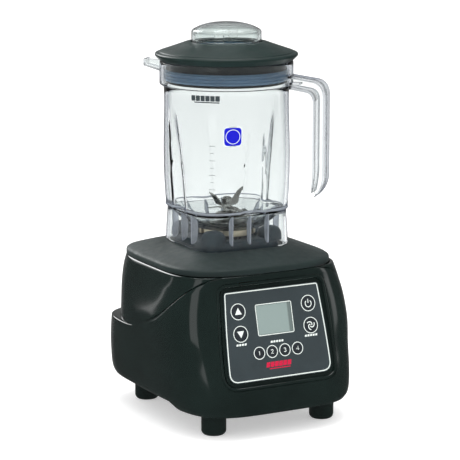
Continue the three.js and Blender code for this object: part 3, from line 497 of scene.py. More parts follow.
def display_glass():
    # Reflective liquid crystal behind clear plastic: grey-green, with painted shade darkening its right margin,
    # where the window's own edge shades it.
    m, tree, shader = surface("liquid crystal display", Roughness=0.12, IOR=1.52)
    if tree:
        high = corners("lcd_window")[1]
        place = grain(tree, shader, 6.0, 0.004)
        apart = add_node(tree, "ShaderNodeSeparateXYZ", {"Vector": place.outputs["Object"]})
        # Painted shade: the colour falls to a darker copy toward the right edge, for the shadow of the window's
        # edge.
        side = add_node(tree, "ShaderNodeMapRange", {"Value": apart.outputs["X"],
                        "From Min": (high.x - 5.5) * MM, "From Max": (high.x - 3.5) * MM})
        side.interpolation_type = "SMOOTHSTEP"
        base = tuple(colours().display)
        ramp = add_node(tree, "ShaderNodeValToRGB", {"Fac": side.outputs["Result"]})
        ramp.color_ramp.elements[0].color = base
        ramp.color_ramp.elements[1].color = shade(base, 0.55)
        tree.links.new(ramp.outputs["Color"], shader.inputs["Base Color"])
    return m


def metal(name, colour, roughness, size_mm=0.5, depth=0.01, stretch=(1, 1, 1)):
    """A metal with the marks of its making at a real spacing."""
    m, tree, shader = surface(name, Metallic=1.0, Roughness=roughness)
    if tree:
        place = grain(tree, shader, size_mm, depth, (roughness * 0.8, roughness * 1.25), 4.0, stretch)
        tint(tree, shader, place.outputs["Object"], 12, shade(colour, 0.88), colour)
    return m


def brushed_steel():
    # Stainless steel, ground and brushed along the blade: bright, with fine parallel lines.
    return metal("ground stainless steel", tuple(colours().steel), 0.24, 0.4, 0.012, (1, 0.15, 1))


def plated_nut():
    # Steel with a warm nickel plate over turning marks.
    return metal("nickel-plated turned steel", tuple(colours().nut), 0.34, 0.4, 0.01, (1, 1, 0.2))


def cast_aluminium():
    # Aluminium cast in sand: light grey, with a coarse pebbled skin.
    return metal("cast aluminium", srgb("#a9adb0"), 0.45, 1.2, 0.05)


def copper_winding():
    # Enamelled copper wire wound in layers: warm, with the 0.8 mm wire's ridges.
    return metal("enamelled copper wire", srgb("#9c5230"), 0.35, 0.8, 0.2, (0.2, 0.2, 1))


def iron_laminate():
    # Stacked iron sheet, stamped: dark grey with the sheets' edges 0.5 mm apart.
    return metal("stamped lamination iron", srgb("#6c6f72"), 0.5, 0.5, 0.05, (0.1, 0.1, 1))


def carbon_block():
    # Pressed carbon and graphite: almost black and dry.
    m, tree, shader = surface("pressed carbon", Base_Color=srgb("#1c1c1d"), Roughness=0.7)
    if tree:
        grain(tree, shader, 0.4, 0.03)
    return m


def board_laminate():
    # Glass-epoxy laminate under green solder mask.
    m, tree, shader = surface("glass-epoxy laminate", Base_Color=srgb("#174f32"), Roughness=0.35)
    if tree:
        grain(tree, shader, 0.8, 0.02)
    return m


# ---------------------------------------------------------------- housing outlines
# Heights in millimetres; how far the outline stands in from the overall width at the front and at
# the rear, from the front and from the back; and how square its front and back halves are.
SECTIONS = (
    (25, 15, 13, 3, 12, 4.3, 5.0), (30, 11, 9, 0, 4, 4.3, 5.0), (40, 8, 3.5, 0.4, 1, 4.3, 5.2),
    (60, 5, 1.5, 4.5, 0, 4.2, 5.2), (85, 2.5, 0.5, 11.5, 0.5, 4.1, 5.0), (112, 0, 0, 18.6, 4, 4.1, 4.6),
    (140, 3, 3, 25.4, 6, 4.1, 4.3), (162, 8.5, 8.5, 30.2, 9, 4.0, 4.0), (178, 14.5, 14.5, 32.3, 10.7, 4.0, 3.9),
)
PARTING = ((-147, 206), (-94, 180), (-51, 139), (-8, 117), (24, 107), (52, 105), (88, 105), (147, 105))


def curve_at(table, x):
    """A smooth curve through rows of (x, values...), without overshoot at its ends."""
    x = min(max(x, table[0][0]), table[-1][0])
    k = max(i for i in range(len(table) - 1) if table[i][0] <= x)
    a, b = table[k], table[k + 1]
    before, after = table[max(k - 1, 0)], table[min(k + 2, len(table) - 1)]
    span = b[0] - a[0]
    t = (x - a[0]) / span
    result = []
    for i in range(1, len(a)):
        lean_a = (b[i] - before[i]) / max(b[0] - before[0], 1e-6)
        lean_b = (after[i] - a[i]) / max(after[0] - a[0], 1e-6)
        result.append((2 * t ** 3 - 3 * t * t + 1) * a[i] + (t ** 3 - 2 * t * t + t) * span * lean_a
                      + (3 * t * t - 2 * t ** 3) * b[i] + (t ** 3 - t * t) * span * lean_b)
    return result


def housing_point(angle, z, inset=0.0, upper=False):
    """A point of the housing's outside at an angle and a height, set in by an inset."""
    side, rear_side, front, back, front_power, back_power = curve_at(SECTIONS, z)
    if upper:
        back, back_power = FRONT - upper_reach(z), 3.9
    c, s = math.cos(angle), math.sin(angle)
    power = front_power if s < 0 else back_power
    reach = FRONT - (front if s < 0 else back)
    width = HALF - mix(side, rear_side, smooth((1 + s) / 2)) - inset
    return (math.copysign(width * abs(c) ** (2 / power), c),
            math.copysign((reach - inset) * abs(s) ** (2 / power), s), z)


def shelf_point(angle, z, wall):
    """Where the lower shell's top edge ends: at its wall, or at the back close to the upper shell."""
    side, rear_side, front, back, front_power, _ = curve_at(SECTIONS, z)
    c, s = math.cos(angle), math.sin(angle)
    power = front_power if s < 0 else 3.9
    reach = FRONT - front - wall if s < 0 else min(FRONT - back - wall, upper_reach(z) + 0.4)
    width = HALF - mix(side, rear_side, smooth((1 + s) / 2)) - wall
    return (math.copysign(width * abs(c) ** (2 / power), c), math.copysign(reach * abs(s) ** (2 / power), s))


def upper_reach(z):
    """How far back the upper shell goes at a height."""
    return FRONT - 10.7 - 15 * smooth((RIM_Z - z) / 60)


def parting_height(angle):
    """The height at which the parting line crosses the housing at an angle."""
    z = 120.0
    for _ in range(12):
        z = mix(z, min(RIM_Z, curve_at(PARTING, housing_point(angle, z)[1])[0]), 0.7)
    return z


def lower_edge(angle):
    """The housing's lower edge, which steps up behind the front feet."""
    return SKIRT_Z + 8 * smooth((housing_point(angle, 32)[1] + 67) / 17)


def housing_angles():
    """Angles round the housing, closer at its corners."""
    count = sizes().sides
    return [(k + 0.5) / count * math.tau for k in range(count)]


# ---------------------------------------------------------------- the tilted panel
PANEL_TILT = math.radians(14.6)
PANEL = Matrix.Translation((0, 22.6 - FRONT, 112)) @ Matrix.Rotation(math.pi / 2 - PANEL_TILT, 4, "X")
PANEL_TOP, PANEL_LOW, PANEL_TALL = 60.5, 66.5, 102
DISPLAY_Y, DISPLAY_WIDE, DISPLAY_TALL = 15.9, 44, 33
KEYS = {
    "time_up": (-45, 28.2, 8.2), "time_down": (-45, 3.2, 8.2), "power": (45, 28.2, 8.2), "pulse": (45, 3.2, 8.2),
    "speed_1": (-24.5, -20.4, 6.1), "speed_2": (-8.2, -20.4, 6.1), "speed_3": (8.2, -20.4, 6.1),
    "speed_4": (24.5, -20.4, 6.1),
}


def on_panel(points):
    """Points of the panel's own frame, put where the tilted panel lies."""
    return [tuple(PANEL @ Vector(p)) for p in points]


def panel_outline(grow, steps=10):
    """The membrane's rounded trapezoid, grown by a border, anticlockwise."""
    top, low, tall = PANEL_TOP + grow, PANEL_LOW + grow, PANEL_TALL / 2 + grow
    top_round, low_round = max(2, 4 + grow), max(6, 13 + grow)
    lean = (low - top) / (2 * tall)
    right = [
        ((low - low_round, -tall), (low, -tall), (low - lean * low_round, -tall + low_round)),
        ((low - lean * low_round, -tall + low_round), (low - lean * tall + 1.5, 0),
         (top + lean * top_round, tall - top_round)),
        ((top + lean * top_round, tall - top_round), (top, tall), (top - top_round, tall)),
    ]
    half = []
    for a, b, c in right:
        for k in range(steps):
            t = k / steps
            half.append(tuple((1 - t) ** 2 * a[i] + 2 * t * (1 - t) * b[i] + t * t * c[i] for i in (0, 1)))
    half.append(right[-1][2])
    for k in range(1, 6):
        half.append((mix(top - top_round, 0, k / 6), tall))
    start = [(mix(0, low - low_round, k / 8), -tall) for k in range(1, 8)]
    half = [(0, -tall)] + start + half + [(0, tall)]
    return half + [(-x, y) for x, y in reversed(half[1:-1])]


HOUSING_WALL = 3.0


def rounded_edge(angle, z, radius, at_top, upper=False):
    """Points round a shell's outer edge at a height, its lower edge or its upper one."""
    points = []
    for k in range(4):
        turn = math.pi / 2 * k / 3
        rise, inset = 1 - math.cos(turn), 1 - math.sin(turn)
        if at_top:
            rise, inset = -inset, rise
        points.append(housing_point(angle, z + radius * rise, radius * inset, upper))
    return points


def cut_through_back(shell, outline):
    """Cuts an outline of (x, z) points through a shell's rear wall."""
    points, faces = slab(outline, 0, 30)
    combine(shell, cutter([(x, FRONT - 15 + y, z) for x, z, y in points], faces), "DIFFERENCE")


def make_lower_shell(angles, finish):
    """The flared shell up to the parting line, with the panel's opening, air slots and cord hole."""
    edge, wall = sizes().edge, HOUSING_WALL
    inner_low, ledge = 8, 6  # where the inside starts above the lower edge and ends below the upper one
    columns = []
    for angle in angles:
        low, high = lower_edge(angle), parting_height(angle)
        column = [housing_point(angle, low + inner_low, wall), housing_point(angle, low + 1.2, wall),
                  (*housing_point(angle, low, wall * 0.5)[:2], low)]
        column += rounded_edge(angle, low, edge, False)
        column += [housing_point(angle, mix(low + edge, high - edge, k / 30)) for k in range(1, 30)]
        column += rounded_edge(angle, high, edge, True)
        shelf = shelf_point(angle, high, wall)
        column += [(*shelf, high), (*shelf, high - 3), housing_point(angle, high - 3.1, wall),
                   housing_point(angle, high - ledge, wall)]
        column += [housing_point(angle, mix(high - ledge, low + inner_low, k / 8), wall) for k in range(1, 8)]
        columns.append(column)
    lower = new_piece("lower_shell", *skin(columns, close=True), finish, None)
    points, faces = slab(panel_outline(8.9), -30, 40)
    combine(lower, cutter(on_panel(points), faces), "DIFFERENCE")
    for row in range(3):
        for side in (-1, 1):
            cut_through_back(lower, box_outline(side * 38, 78 + row * 8, 38, 3.2, 1.55))
    cut_through_back(lower, disc_outline(0, 62, 7.2, 32))
    tidy_mesh(lower, 35)
    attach(lower, "base")
    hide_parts("lower_housing")


def make_upper_shell(angles, finish):
    """The shell behind the parting line, left out where the line reaches the rim."""
    gap = 0.45
    columns, heights = [], []
    for angle in angles:
        low = min(parting_height(angle) + gap, RIM_Z)
        heights.append(RIM_Z - low)
        roll = min(sizes().edge, (RIM_Z - low) * 0.45)
        column = [housing_point(angle, low, HOUSING_WALL, True)]
        column += rounded_edge(angle, low, roll, False, True)
        column += [housing_point(angle, mix(low + roll, RIM_Z - roll, k / 24), 0, True) for k in range(1, 24)]
        column += rounded_edge(angle, RIM_Z, roll, True, True)
        column.append(housing_point(angle, RIM_Z, HOUSING_WALL, True))
        columns.append(column)
    points, faces = skin(columns, close=True)
    tall = len(columns[0])
    kept = [f for f in faces if max(heights[f[0] // tall], heights[f[2] // tall]) > 1e-3]
    used = sorted({i for f in kept for i in f})
    index = {old: new for new, old in enumerate(used)}
    new_piece("upper_shell", [points[i] for i in used], [tuple(index[i] for i in f) for f in kept],
              finish, "base", ["upper_housing"], "housing", 35)


def make_housing():
    """The two shells and the bezel."""
    angles, glossy = housing_angles(), gloss_abs()
    make_lower_shell(angles, glossy)
    make_upper_shell(angles, glossy)
    make_bezel(housing_outside(angles), glossy)


def housing_outside(angles):
    """The housing's outside as one surface, to seat the bezel on."""
    rings = [[housing_point(a, z) for a in angles] for z in range(26, 178, 4)]
    return BVHTree.FromPolygons(*[list(part) for part in skin(rings, caps=False)])


def make_bezel(outside, finish):
    """A frame flush with the housing, with a pocket that the panel lies in."""
    normal = (PANEL.to_3x3() @ Vector((0, 0, 1))).normalized()

    def height(x, y):
        hit = outside.ray_cast(PANEL @ Vector((x, y, 60)), -normal)[0]
        return (PANEL.inverted() @ hit).z if hit else 0.0

    rings = []
    # How far each ring stands out from the panel's outline, and how deep it lies: first under the
    # housing's surface, then under the panel's own plane.
    for grow, drop in ((8.5, -3.0), (8.5, -0.5), (8.35, -0.12), (8.0, 0.0), (7.2, 0.0), (6.4, -0.12), (5.6, -0.6),
                       (5.0, -1.5), (4.65, -2.6)):
        rings.append([(x, y, height(x, y) + drop) for x, y in panel_outline(grow)])
    for grow, z in ((4.5, 0.4), (4.45, -0.9), (4.2, -1.3), (0.4, -1.3), (-3.2, -1.3), (-3.5, -1.6), (-3.5, -4.5),
                    (8.5, -4.5)):
        rings.append([(x, y, min(z, height(x, y) - 0.3)) for x, y in panel_outline(grow)])
    points, faces = skin(rings, close=True)
    new_piece("panel_bezel", on_panel(points), faces, finish, "base", ["front_bezel"], "housing", 50)


def make_deck():
    """The soft-touch top: a rolled edge, a low dome and the opening over the drive socket."""
    angles = housing_angles()
    # Heights, and how far each ring has gone from the deck's outline to the seat's square.
    rows = ((182.6, 0.0), (184.3, 0.012), (185.4, 0.05), (186.4, 0.12), (189.0, 0.33), (191.6, 0.55), (193.6, 0.74),
            (194.7, 0.87), (195.2, 0.97), (195.5, 1.05))
    low, seat_half, opening, thick = DECK_LOW.z, 63.6, 18.0, 3

    def ring(z, share, inset=0.8):
        result = []
        for angle in angles:
            c, s = math.cos(angle), math.sin(angle)
            side, rear, front, back = SECTIONS[-1][1:5]
            power = 3.3 if s < 0 else 4.1
            reach = FRONT - (front if s < 0 else back) - inset
            width = HALF - mix(side, rear, smooth((1 + s) / 2)) - inset
            x = math.copysign(width * abs(c) ** (2 / power), c)
            y = math.copysign(reach * abs(s) ** (2 / power), s)
            dy = y - AXIS_Y
            size = ((abs(x) / seat_half) ** 4 + (abs(dy) / seat_half) ** 4) ** -0.25
            result.append((mix(x, x * size, share), mix(y, AXIS_Y + dy * size, share), z))
        return result

    def hole(radius, z):
        around = []
        for x, y, _ in ring(0, 1.0):
            reach = math.hypot(x, y - AXIS_Y)
            around.append((x / reach * radius, AXIS_Y + (y - AXIS_Y) / reach * radius, z))
        return around

    rings = [ring(low + 0.5, 0.05), ring(low, 0.04), ring(low, 0.012, 1.3), ring(low + 0.5, 0.0)]
    rings += [ring(z, share) for z, share in rows]
    rings += [hole(opening + 0.8, SEAT_Z), hole(opening + 0.1, SEAT_Z - 0.5), hole(opening, SEAT_Z - thick)]
    rings += [ring(SEAT_Z - thick, 1.02), ring(191, 0.8), ring(183, 0.1)]
    points, faces = skin(rings, close=True)
    new_piece("deck", points, faces, soft_touch(), "base", ["top_deck"], "soft_deck", 50)


# ---------------------------------------------------------------- control panel
def icon(kind, x, y):
    """Paths of one key's symbol, as (path, width, closed) or filled outlines."""
    if kind in ("time_up", "time_down"):
        up = 1 if kind == "time_up" else -1
        return [], [[(x - 4.3, y - 3.2 * up), (x + 4.3, y - 3.2 * up), (x, y + 4.4 * up)][::up]]
    if kind == "power":
        arc = [(x + 3.9 * math.sin(a), y + 3.9 * math.cos(a) - 0.4)
               for a in (math.radians(40 + 280 * k / 28) for k in range(29))]
        return [(arc, 0.95, False), ([(x, y + 4.8), (x, y + 0.2)], 0.95, False)], []
    if kind == "pulse":
        arms, third = [], 2.094
        for arm in range(3):
            spiral = [(0.9 + k / 3, arm * third + k * 0.2) for k in range(14)]
            arms.append(([(x + r * math.cos(a), y + r * math.sin(a)) for r, a in spiral], 1.1, False))
        return arms, []
    digits = {
        "speed_1": [[(-0.9, 1.3), (0.1, 2.2), (0.1, -2.2)]],
        "speed_2": [[(-1.3, 1.2), (-0.8, 2.0), (0.4, 2.2), (1.2, 1.4), (1.0, 0.4), (-1.4, -2.1), (1.5, -2.1)]],
        "speed_3": [[(-1.3, 1.7), (-0.3, 2.2), (0.9, 1.9), (1.1, 0.9), (0.0, 0.2), (1.3, -0.6), (1.1, -1.8),
                     (-0.2, -2.2), (-1.4, -1.7)]],
        "speed_4": [[(0.8, -2.2), (0.8, 2.2), (-1.7, -0.9), (1.8, -0.9)]],
    }
    return [([(x + a, y + b) for a, b in path], 0.75, False) for path in digits[kind]], []


def caption(x, y, count, wide, tall, apart):
    """Leaning blocks in a row, which mark a control without words."""
    blocks = []
    lean = tall * 0.12
    for k in range(count):
        left = x + (k - count / 2) * (wide + apart) + apart / 2
        blocks.append([(left - lean, y - tall / 2), (left + wide - lean, y - tall / 2),
                       (left + wide + lean, y + tall / 2), (left + lean, y + tall / 2)])
    return blocks


def make_membrane(film):
    """The printed film, with a hole for each key and for the display."""
    holes = [disc_outline(x, y, r + 0.25, 48) for x, y, r in KEYS.values()]
    holes.append(box_outline(0, DISPLAY_Y, DISPLAY_WIDE + 0.5, DISPLAY_TALL + 0.5, 1.2))
    points, faces = slab(panel_outline(0), -1.0, 0.0, holes)
    new_piece("panel_membrane", on_panel(points), faces, film, "base", ["control_membrane"], "membrane", 30)


def make_print(white, red):
    """The white lines and captions, and the red mark in plain blocks."""
    top = sizes().print_height
    parts = [(0, ribbon(panel_outline(-1.5), 1.2, 0.0, top))]
    for x, y, r in KEYS.values():
        parts.append((0, ribbon(disc_outline(x, y, r + 0.65), 0.85, 0.0, top)))
    parts.append((0, ribbon(box_outline(0, DISPLAY_Y, DISPLAY_WIDE + 1.6, DISPLAY_TALL + 1.6, 1.6), 0.9, 0.0, top)))
    for x, y, count in ((-45.6, -8.7, 4), (-0.5, -9.6, 5), (43.9, -8.0, 5)):
        for block in caption(x, y, count, 2.5, 2.2, 0.9):
            parts.append((0, slab(block, 0.0, top)))
    for block in caption(-1.5, -34.6, 6, 4.6, 5.6, 0.8):
        parts.append((1, slab(block, 0.0, top)))
    parts.append((1, slab(box_outline(-0.6, -39.2, 27, 1.1, 0.5), 0.0, top)))
    points, faces, numbers = gathered(parts)
    new_piece("panel_print", on_panel(points), faces, [white, red], "base", (), "membrane", 30, numbers)


def make_keys(film, white):
    """A raised dome for each key, with its symbol."""
    lift, top = 0.2, sizes().print_height
    for kind, (x, y, radius) in KEYS.items():
        dome = [(0.0, 0.0), (radius - 0.7, 0.0, 0.3), (radius, -0.25, 0.3), (radius, -1.7, 0.1),
                (radius + 0.9, -1.7, 0.1), (radius + 0.9, -2.3, 0.1), (0.0, -2.3)]
        parts = [(0, turned([(r, z + lift, *rest) for r, z, *rest in dome], 64, (x, y), 0.1, 3))]
        strokes, fills = icon(kind, x, y)
        for path, width, closed in strokes:
            parts.append((1, ribbon(path, width, lift, lift + top, closed)))
        for outline in fills:
            parts.append((1, slab(outline, lift, lift + top)))
        points, faces, numbers = gathered(parts)
        name = f"button_{kind}"
        new_piece(f"key_{kind}", on_panel(points), faces, [film, white], name, [name], "key", 30, numbers)


def make_display():
    """The display's window, its edge rounded toward the film."""
    rings = []
    for inset, z in ((0.1, -1.7), (0.0, -1.6), (0.0, -0.35), (0.15, -0.1), (0.4, 0.0)):
        outline = box_outline(0, DISPLAY_Y, DISPLAY_WIDE - 2 * inset, DISPLAY_TALL - 2 * inset, 1.0)
        rings.append([(x, y, z) for x, y in outline])
    points, faces = skin(rings)
    new_piece("display_window", on_panel(points), faces, display_glass(), "base", ["lcd_window"], "display", 30)


def make_panel():
    """The membrane, its print, the eight keys and the display."""
    film, key_film = panel_film(), panel_film("embossed key film", True)
    white, red = ink("white screen ink", tuple(colours().ink)), ink("red screen ink", tuple(colours().mark))
    make_membrane(film)
    make_print(white, red)
    make_keys(key_film, white)
    make_display()


# ---------------------------------------------------------------- feet and seat
FOOT_PLACES = ("front_left", "front_right", "rear_left", "rear_right")


def make_feet():
    """Four turned feet with the housing's gloss."""
    glossy = gloss_abs()
    for place in FOOT_PLACES:
        low, high = corners(f"foot_{place}")
        centre, radius = ((low.x + high.x) / 2, (low.y + high.y) / 2), (high.x - low.x) / 2
        bore, screw_hole, step = 5.6, 2.9, 12
        profile = [(bore, 0, 0.4), (radius - 2.6, 0, 1.2), (radius, 3.2, 2.4), (radius, high.z, 0.3),
                   (screw_hole, high.z, 0.1), (screw_hole, step, 0.1), (bore, step, 0.1)]
        points, faces = turned(profile, 72, centre, 0.4, 5)
        new_piece(f"foot_pad_{place}", points, faces, glossy, "base", [f"foot_{place}"], "rubber_black", 40)


def make_seat():
    """The rubber seat with four posts that stand inside the jar's skirt."""
    rubber = fitting_rubber("cured grey rubber", srgb("#3d4a52"))
    low, high = corners("seat_pad")
    rings = [square_ring(h, z, p) for h, z, p in (
        (20, low.z, 2), (49.4, low.z, 4.5), (50.2, low.z + 0.3, 4.5), (50.4, low.z + 1, 4.5),
        (49.4, low.z + 7.6, 4.5), (48.9, low.z + 8.5, 4.5), (48.0, low.z + 8.7, 4.5), (37, low.z + 8.7, 2),
        (35.8, low.z + 8.2, 2), (35.6, low.z + 3.4, 2), (17.2, low.z + 3.4, 2), (16, low.z + 2.6, 2),
        (16, low.z + 0.4, 2))]
    parts = [(0, skin(rings, close=True))]
    reach = 36.4  # from the axis to each post's middle, along and across
    for k in range(4):
        x = reach * (1 if k in (0, 3) else -1)
        y = AXIS_Y + reach * (1 if k < 2 else -1)
        post = [square_ring(half, high.z - drop, power, 48, (x, y)) for half, drop, power in (
            (12.6, 15.0, 3.2), (12.5, 11, 3.2), (12.2, 7, 3.1), (11.5, 4.4, 2.9), (10.2, 2.2, 2.7), (8.2, 0.8, 2.5),
            (5.6, 0.15, 2.4), (2.5, 0, 2.2))]
        parts.append((0, skin(post)))
    points, faces, _ = gathered(parts)
    new_piece("seat", points, faces, rubber, "base", ["seat_pad"], "rubber_black", 45)


# ---------------------------------------------------------------- jar
FOOT_HALF, TOP_RADIUS, COLLAR_RADIUS = 61.8, 72.0, 76.5
SKIRT_FOOT_Z, FLOOR_Z, RING_Z, COLLAR_Z = 195.8, 217.0, 240.0, 379.0
FLUTE_DEPTH, FLUTE_TOP_Z, FLUTE_FADE = 6.5, 366, 75
LIP_ROOT, LIP_REACH = 71.5, 97
GRIP_ANGLE = math.radians(-45)
JAR_NODES = ("jar_bowl", "jar_body", "jar_collar", "jar_spout", "jar_skirt", "jar_arm", "jar_grip")


def jar_radius(angle, z, inset=0.0):
    """The body's radius: round at the top, square below, with a flute down each side's middle."""
    up = (z - RING_Z) / (COLLAR_Z - RING_Z)
    power = mix(3.6, 2, smooth(up))
    c, s = math.cos(angle), math.sin(angle)
    size = (mix(FOOT_HALF, TOP_RADIUS, up) - inset) * (abs(c) ** power + abs(s) ** power) ** (-1 / power)
    wide = mix(0.235, 0.07, clamp(up) ** 1.3)
    groove = max(0.0, 1 - (abs(math.sin(2 * angle)) / 2 / wide) ** 2) ** 0.85
    return size - FLUTE_DEPTH * smooth((FLUTE_TOP_Z - z) / FLUTE_FADE) * groove


def jar_ring(z, inset=0.0, grow=0.0):
    """The body's outline at a height, set in with its own shape or grown evenly."""
    count = sizes().sides
    ring = []
    for i in range(count):
        t = i / count * math.tau
        r = jar_radius(t, z, inset) + grow
        ring.append((r * math.cos(t), AXIS_Y + r * math.sin(t), z))
    return ring


def jar_shell():
    """The jar's body, collar, floor and skirt as one closed wall."""
    def circle(radius, z):
        return square_ring(radius, z, 2)

    top, wall, foot = JAR_TOP_Z, 3.5, SKIRT_FOOT_Z
    rings = [circle(74.5, top), circle(75.7, top - 0.2), circle(76.3, top - 0.8), circle(COLLAR_RADIUS, top - 1.7)]
    rings += [circle(COLLAR_RADIUS, z) for z in (400, 392, 384)]
    rings += [circle(COLLAR_RADIUS, 380.6), circle(76.2, 379.7), circle(75.4, 379.2), circle(74.0, 378.9),
              circle(72.8, 378.4)]
    rings += [jar_ring(376.8 - k * 4.4) for k in range(31)]
    rings += [jar_ring(240.6, 0, 0.1), jar_ring(239.9, 0, 0.5), jar_ring(238.8, 0, 0.7), jar_ring(237.8, 0, 0.3)]
    rings += [square_ring(60.0, 237.0, 3.8), square_ring(59.4, 236.2, 4)]
    rings += [square_ring(mix(59.3, 58.6, k / 5), mix(234, 198, k / 5), mix(4, 5.5, k / 5)) for k in range(6)]
    rings += [square_ring(58.5, foot + 0.9, 5.5), square_ring(58.1, foot + 0.25, 5.5), square_ring(57.2, foot, 5.5),
              square_ring(56.1, foot + 0.3, 5.5), square_ring(55.6, foot + 1.2, 5.5)]
    rings += [square_ring(mix(55.6, 56.8, k / 5), mix(200, 232, k / 5), mix(5.5, 4.2, k / 5)) for k in range(6)]
    rings += [square_ring(56.7, 233.6, 4), square_ring(56.1, 234.5, 3.7), square_ring(55.2, 234.3, 3.4)]
    for k in range(1, 11):  # down the bowl's outside
        u = 1 - k / 10
        rings.append(square_ring(38.5 + 16.4 * u ** 0.75, 215 + 18.6 * u, mix(2.4, 3.4, u)))
    rings += [square_ring(35, 213.9, 2.2), circle(31, 213.5), circle(22, 213.5), circle(15.4, 213.5)]
    rings += [circle(15.3, 216.6), circle(15.7, FLOOR_Z), circle(27, FLOOR_Z), square_ring(31, 217.7, 2.2)]
    for k in range(11):  # up the bowl's inside
        u = k / 10
        rings.append(square_ring(34.2 + 18.6 * u ** 0.75, 219.3 + 18.2 * u, mix(2.4, 3.5, u)))
    rings += [jar_ring(240.4 + k * 4.4, wall) for k in range(31)]
    rings += [circle(69.0, 376.5), circle(70.6, 378.2), circle(72.0, 379.3), circle(72.5, 380.4)]
    rings += [circle(72.5, z) for z in (386, 394, 402)]
    rings += [circle(72.6, top - 1.4), circle(73.0, top - 0.5), circle(73.7, top - 0.1)]
    return skin(rings, close=True)


def grip_point(depth, t):
    """A point of the grip's path at a depth under its outside, t from 0 at the collar to 1 at its tip."""
    reach, top = 119 - depth, 388 - depth
    tip, turn = 254 + depth * 0.4, 17 - depth * 0.5
    start = Vector((74.6 - 3.2 * clamp((depth - 9) / 5.5), top + 3.5 + 0.2))
    legs = [
        (start, Vector((reach - turn, top))),
        (Vector((reach - turn, top)), Vector((reach, top - 1)), Vector((reach, top - turn - 2))),
        (Vector((reach, top - turn - 2)), Vector((reach, tip + 24))),
        (Vector((reach, tip + 24)), Vector((reach - 1, tip + 9)), Vector((reach - 12 + depth * 0.75, tip))),
    ]
    leg = min(int(t * 4), 3)
    u = t * 4 - leg
    if len(legs[leg]) == 2:
        return legs[leg][0].lerp(legs[leg][1], u)
    a, b, c = legs[leg]
    return (1 - u) ** 2 * a + 2 * u * (1 - u) * b + u * u * c


def turned_by(angle, r, w, z):
    """A point at a reach from the drive axis and a distance to its side, in a direction."""
    c, s = math.cos(angle), math.sin(angle)
    return (r * c - w * s, AXIS_Y + r * s + w * c, z)


def make_grip():
    """The handle: two flanges and a thin web, drawn along one path that ends free."""
    flange, depth, half, web = sizes().handle_flange, 14.5, 12.0, 1.5
    outline = [(0, -half, 0.7), (0, half, 0.7), (flange, half, 0.4), (flange, web, 1.2), (depth - flange, web, 1.2),
               (depth - flange, half, 0.4), (depth, half, 0.7), (depth, -half, 0.7), (depth - flange, -half, 0.4),
               (depth - flange, -web, 1.2), (flange, -web, 1.2), (flange, -half, 0.4)]
    section = rounded(outline, 0.5, 4)
    stations = [k / 10 * 0.25 for k in range(10)] + [0.25 + k / 14 * 0.25 for k in range(14)]
    stations += [0.5 + k / 12 * 0.25 for k in range(12)] + [0.75 + k / 12 * 0.25 for k in range(13)]
    rings = []
    for t in stations:
        rings.append([turned_by(GRIP_ANGLE, *(lambda p, w: (p.x, w, p.y))(grip_point(d, t), w)) for d, w in section])
    return skin(rings)


def lip_rings(wall, start, top):
    """Cross-sections of the pouring lip, a channel with small bottom corners that narrows to its tip."""
    rings = []
    for k in range(7):
        reach = mix(start, LIP_REACH - wall, k / 6)
        out = clamp((reach - LIP_ROOT) / (LIP_REACH - LIP_ROOT))
        half = mix(17, 9, out ** 0.9) - wall
        low = JAR_TOP_Z - 15 + 6 * out + wall
        ring = [(half, top)]
        for j in range(13):
            a = math.pi * j / 12
            w = half * math.copysign(abs(math.cos(a)) ** 0.4, math.cos(a))
            ring.append((w, low + 4 * (1 - math.sin(a) ** 0.5)))
        ring.append((-half, top))
        rings.append([turned_by(GRIP_ANGLE + math.pi, reach, w, z) for w, z in ring])
    return skin(rings)


def skirt_ribs():
    """Upright ribs inside the skirt, three to a side, with round lower ends, and the ring above them."""
    low, high, outer, inner = RING_Z - 1.8, RING_Z, 1.0, 3.0
    ring = [jar_ring(z, inset) for z, inset in ((low, outer), (high, outer), (high, inner), (low, inner))]
    parts = [(0, skin(ring, close=True))]
    apart, half_thick = 23, 0.8
    for side in range(4):
        for offset in (-apart, 0, apart):
            outline = [(57.4, 235, 0.2), (57.0, 200.8, 3.0), (50.0, 203.5, 5.0), (49.0, 216, 1.0), (49.6, 231, 0.2),
                       (55.0, 235, 0.2)]
            flat = rounded(outline, 1.0, 6)
            rings = [[turned_by(side * math.pi / 2, r, offset + w, z) for r, z in flat]
                     for w in (-half_thick, half_thick)]
            parts.append((0, skin(rings)))
    return gathered(parts)[:2]


def surface_patch(angle, z, width, height, radius, grow, thick=0.12):
    """A thin label that follows the jar's outside, rounded at its corners."""
    def place(u, v, out):
        a = angle + u / jar_radius(angle, z)
        r = jar_radius(a, z + v) + out
        return (r * math.cos(a), AXIS_Y + r * math.sin(a), z + v)

    outline = box_outline(0, 0, width, height, radius, 6)
    steps, n = 8, len(outline)
    points, faces = [], []
    for out in (grow, grow + thick):
        for share in [k / steps for k in range(steps, 0, -1)]:
            points += [place(x * share, y * share, out) for x, y in outline]
        points.append(place(0, 0, out))
    layer = n * steps + 1
    for base, flip in ((0, True), (layer, False)):
        for k in range(steps - 1):
            for i in range(n):
                j = (i + 1) % n
                quad = (base + k * n + i, base + k * n + j, base + (k + 1) * n + j, base + (k + 1) * n + i)
                faces.append(quad[::-1] if flip else quad)
        last = base + (steps - 1) * n
        for i in range(n):
            tri = (last + i, last + (i + 1) % n, base + layer - 1)
            faces.append(tri[::-1] if flip else tri)
    for i in range(n):
        j = (i + 1) % n
        faces.append((i, j, layer + j, layer + i))
    return points, faces


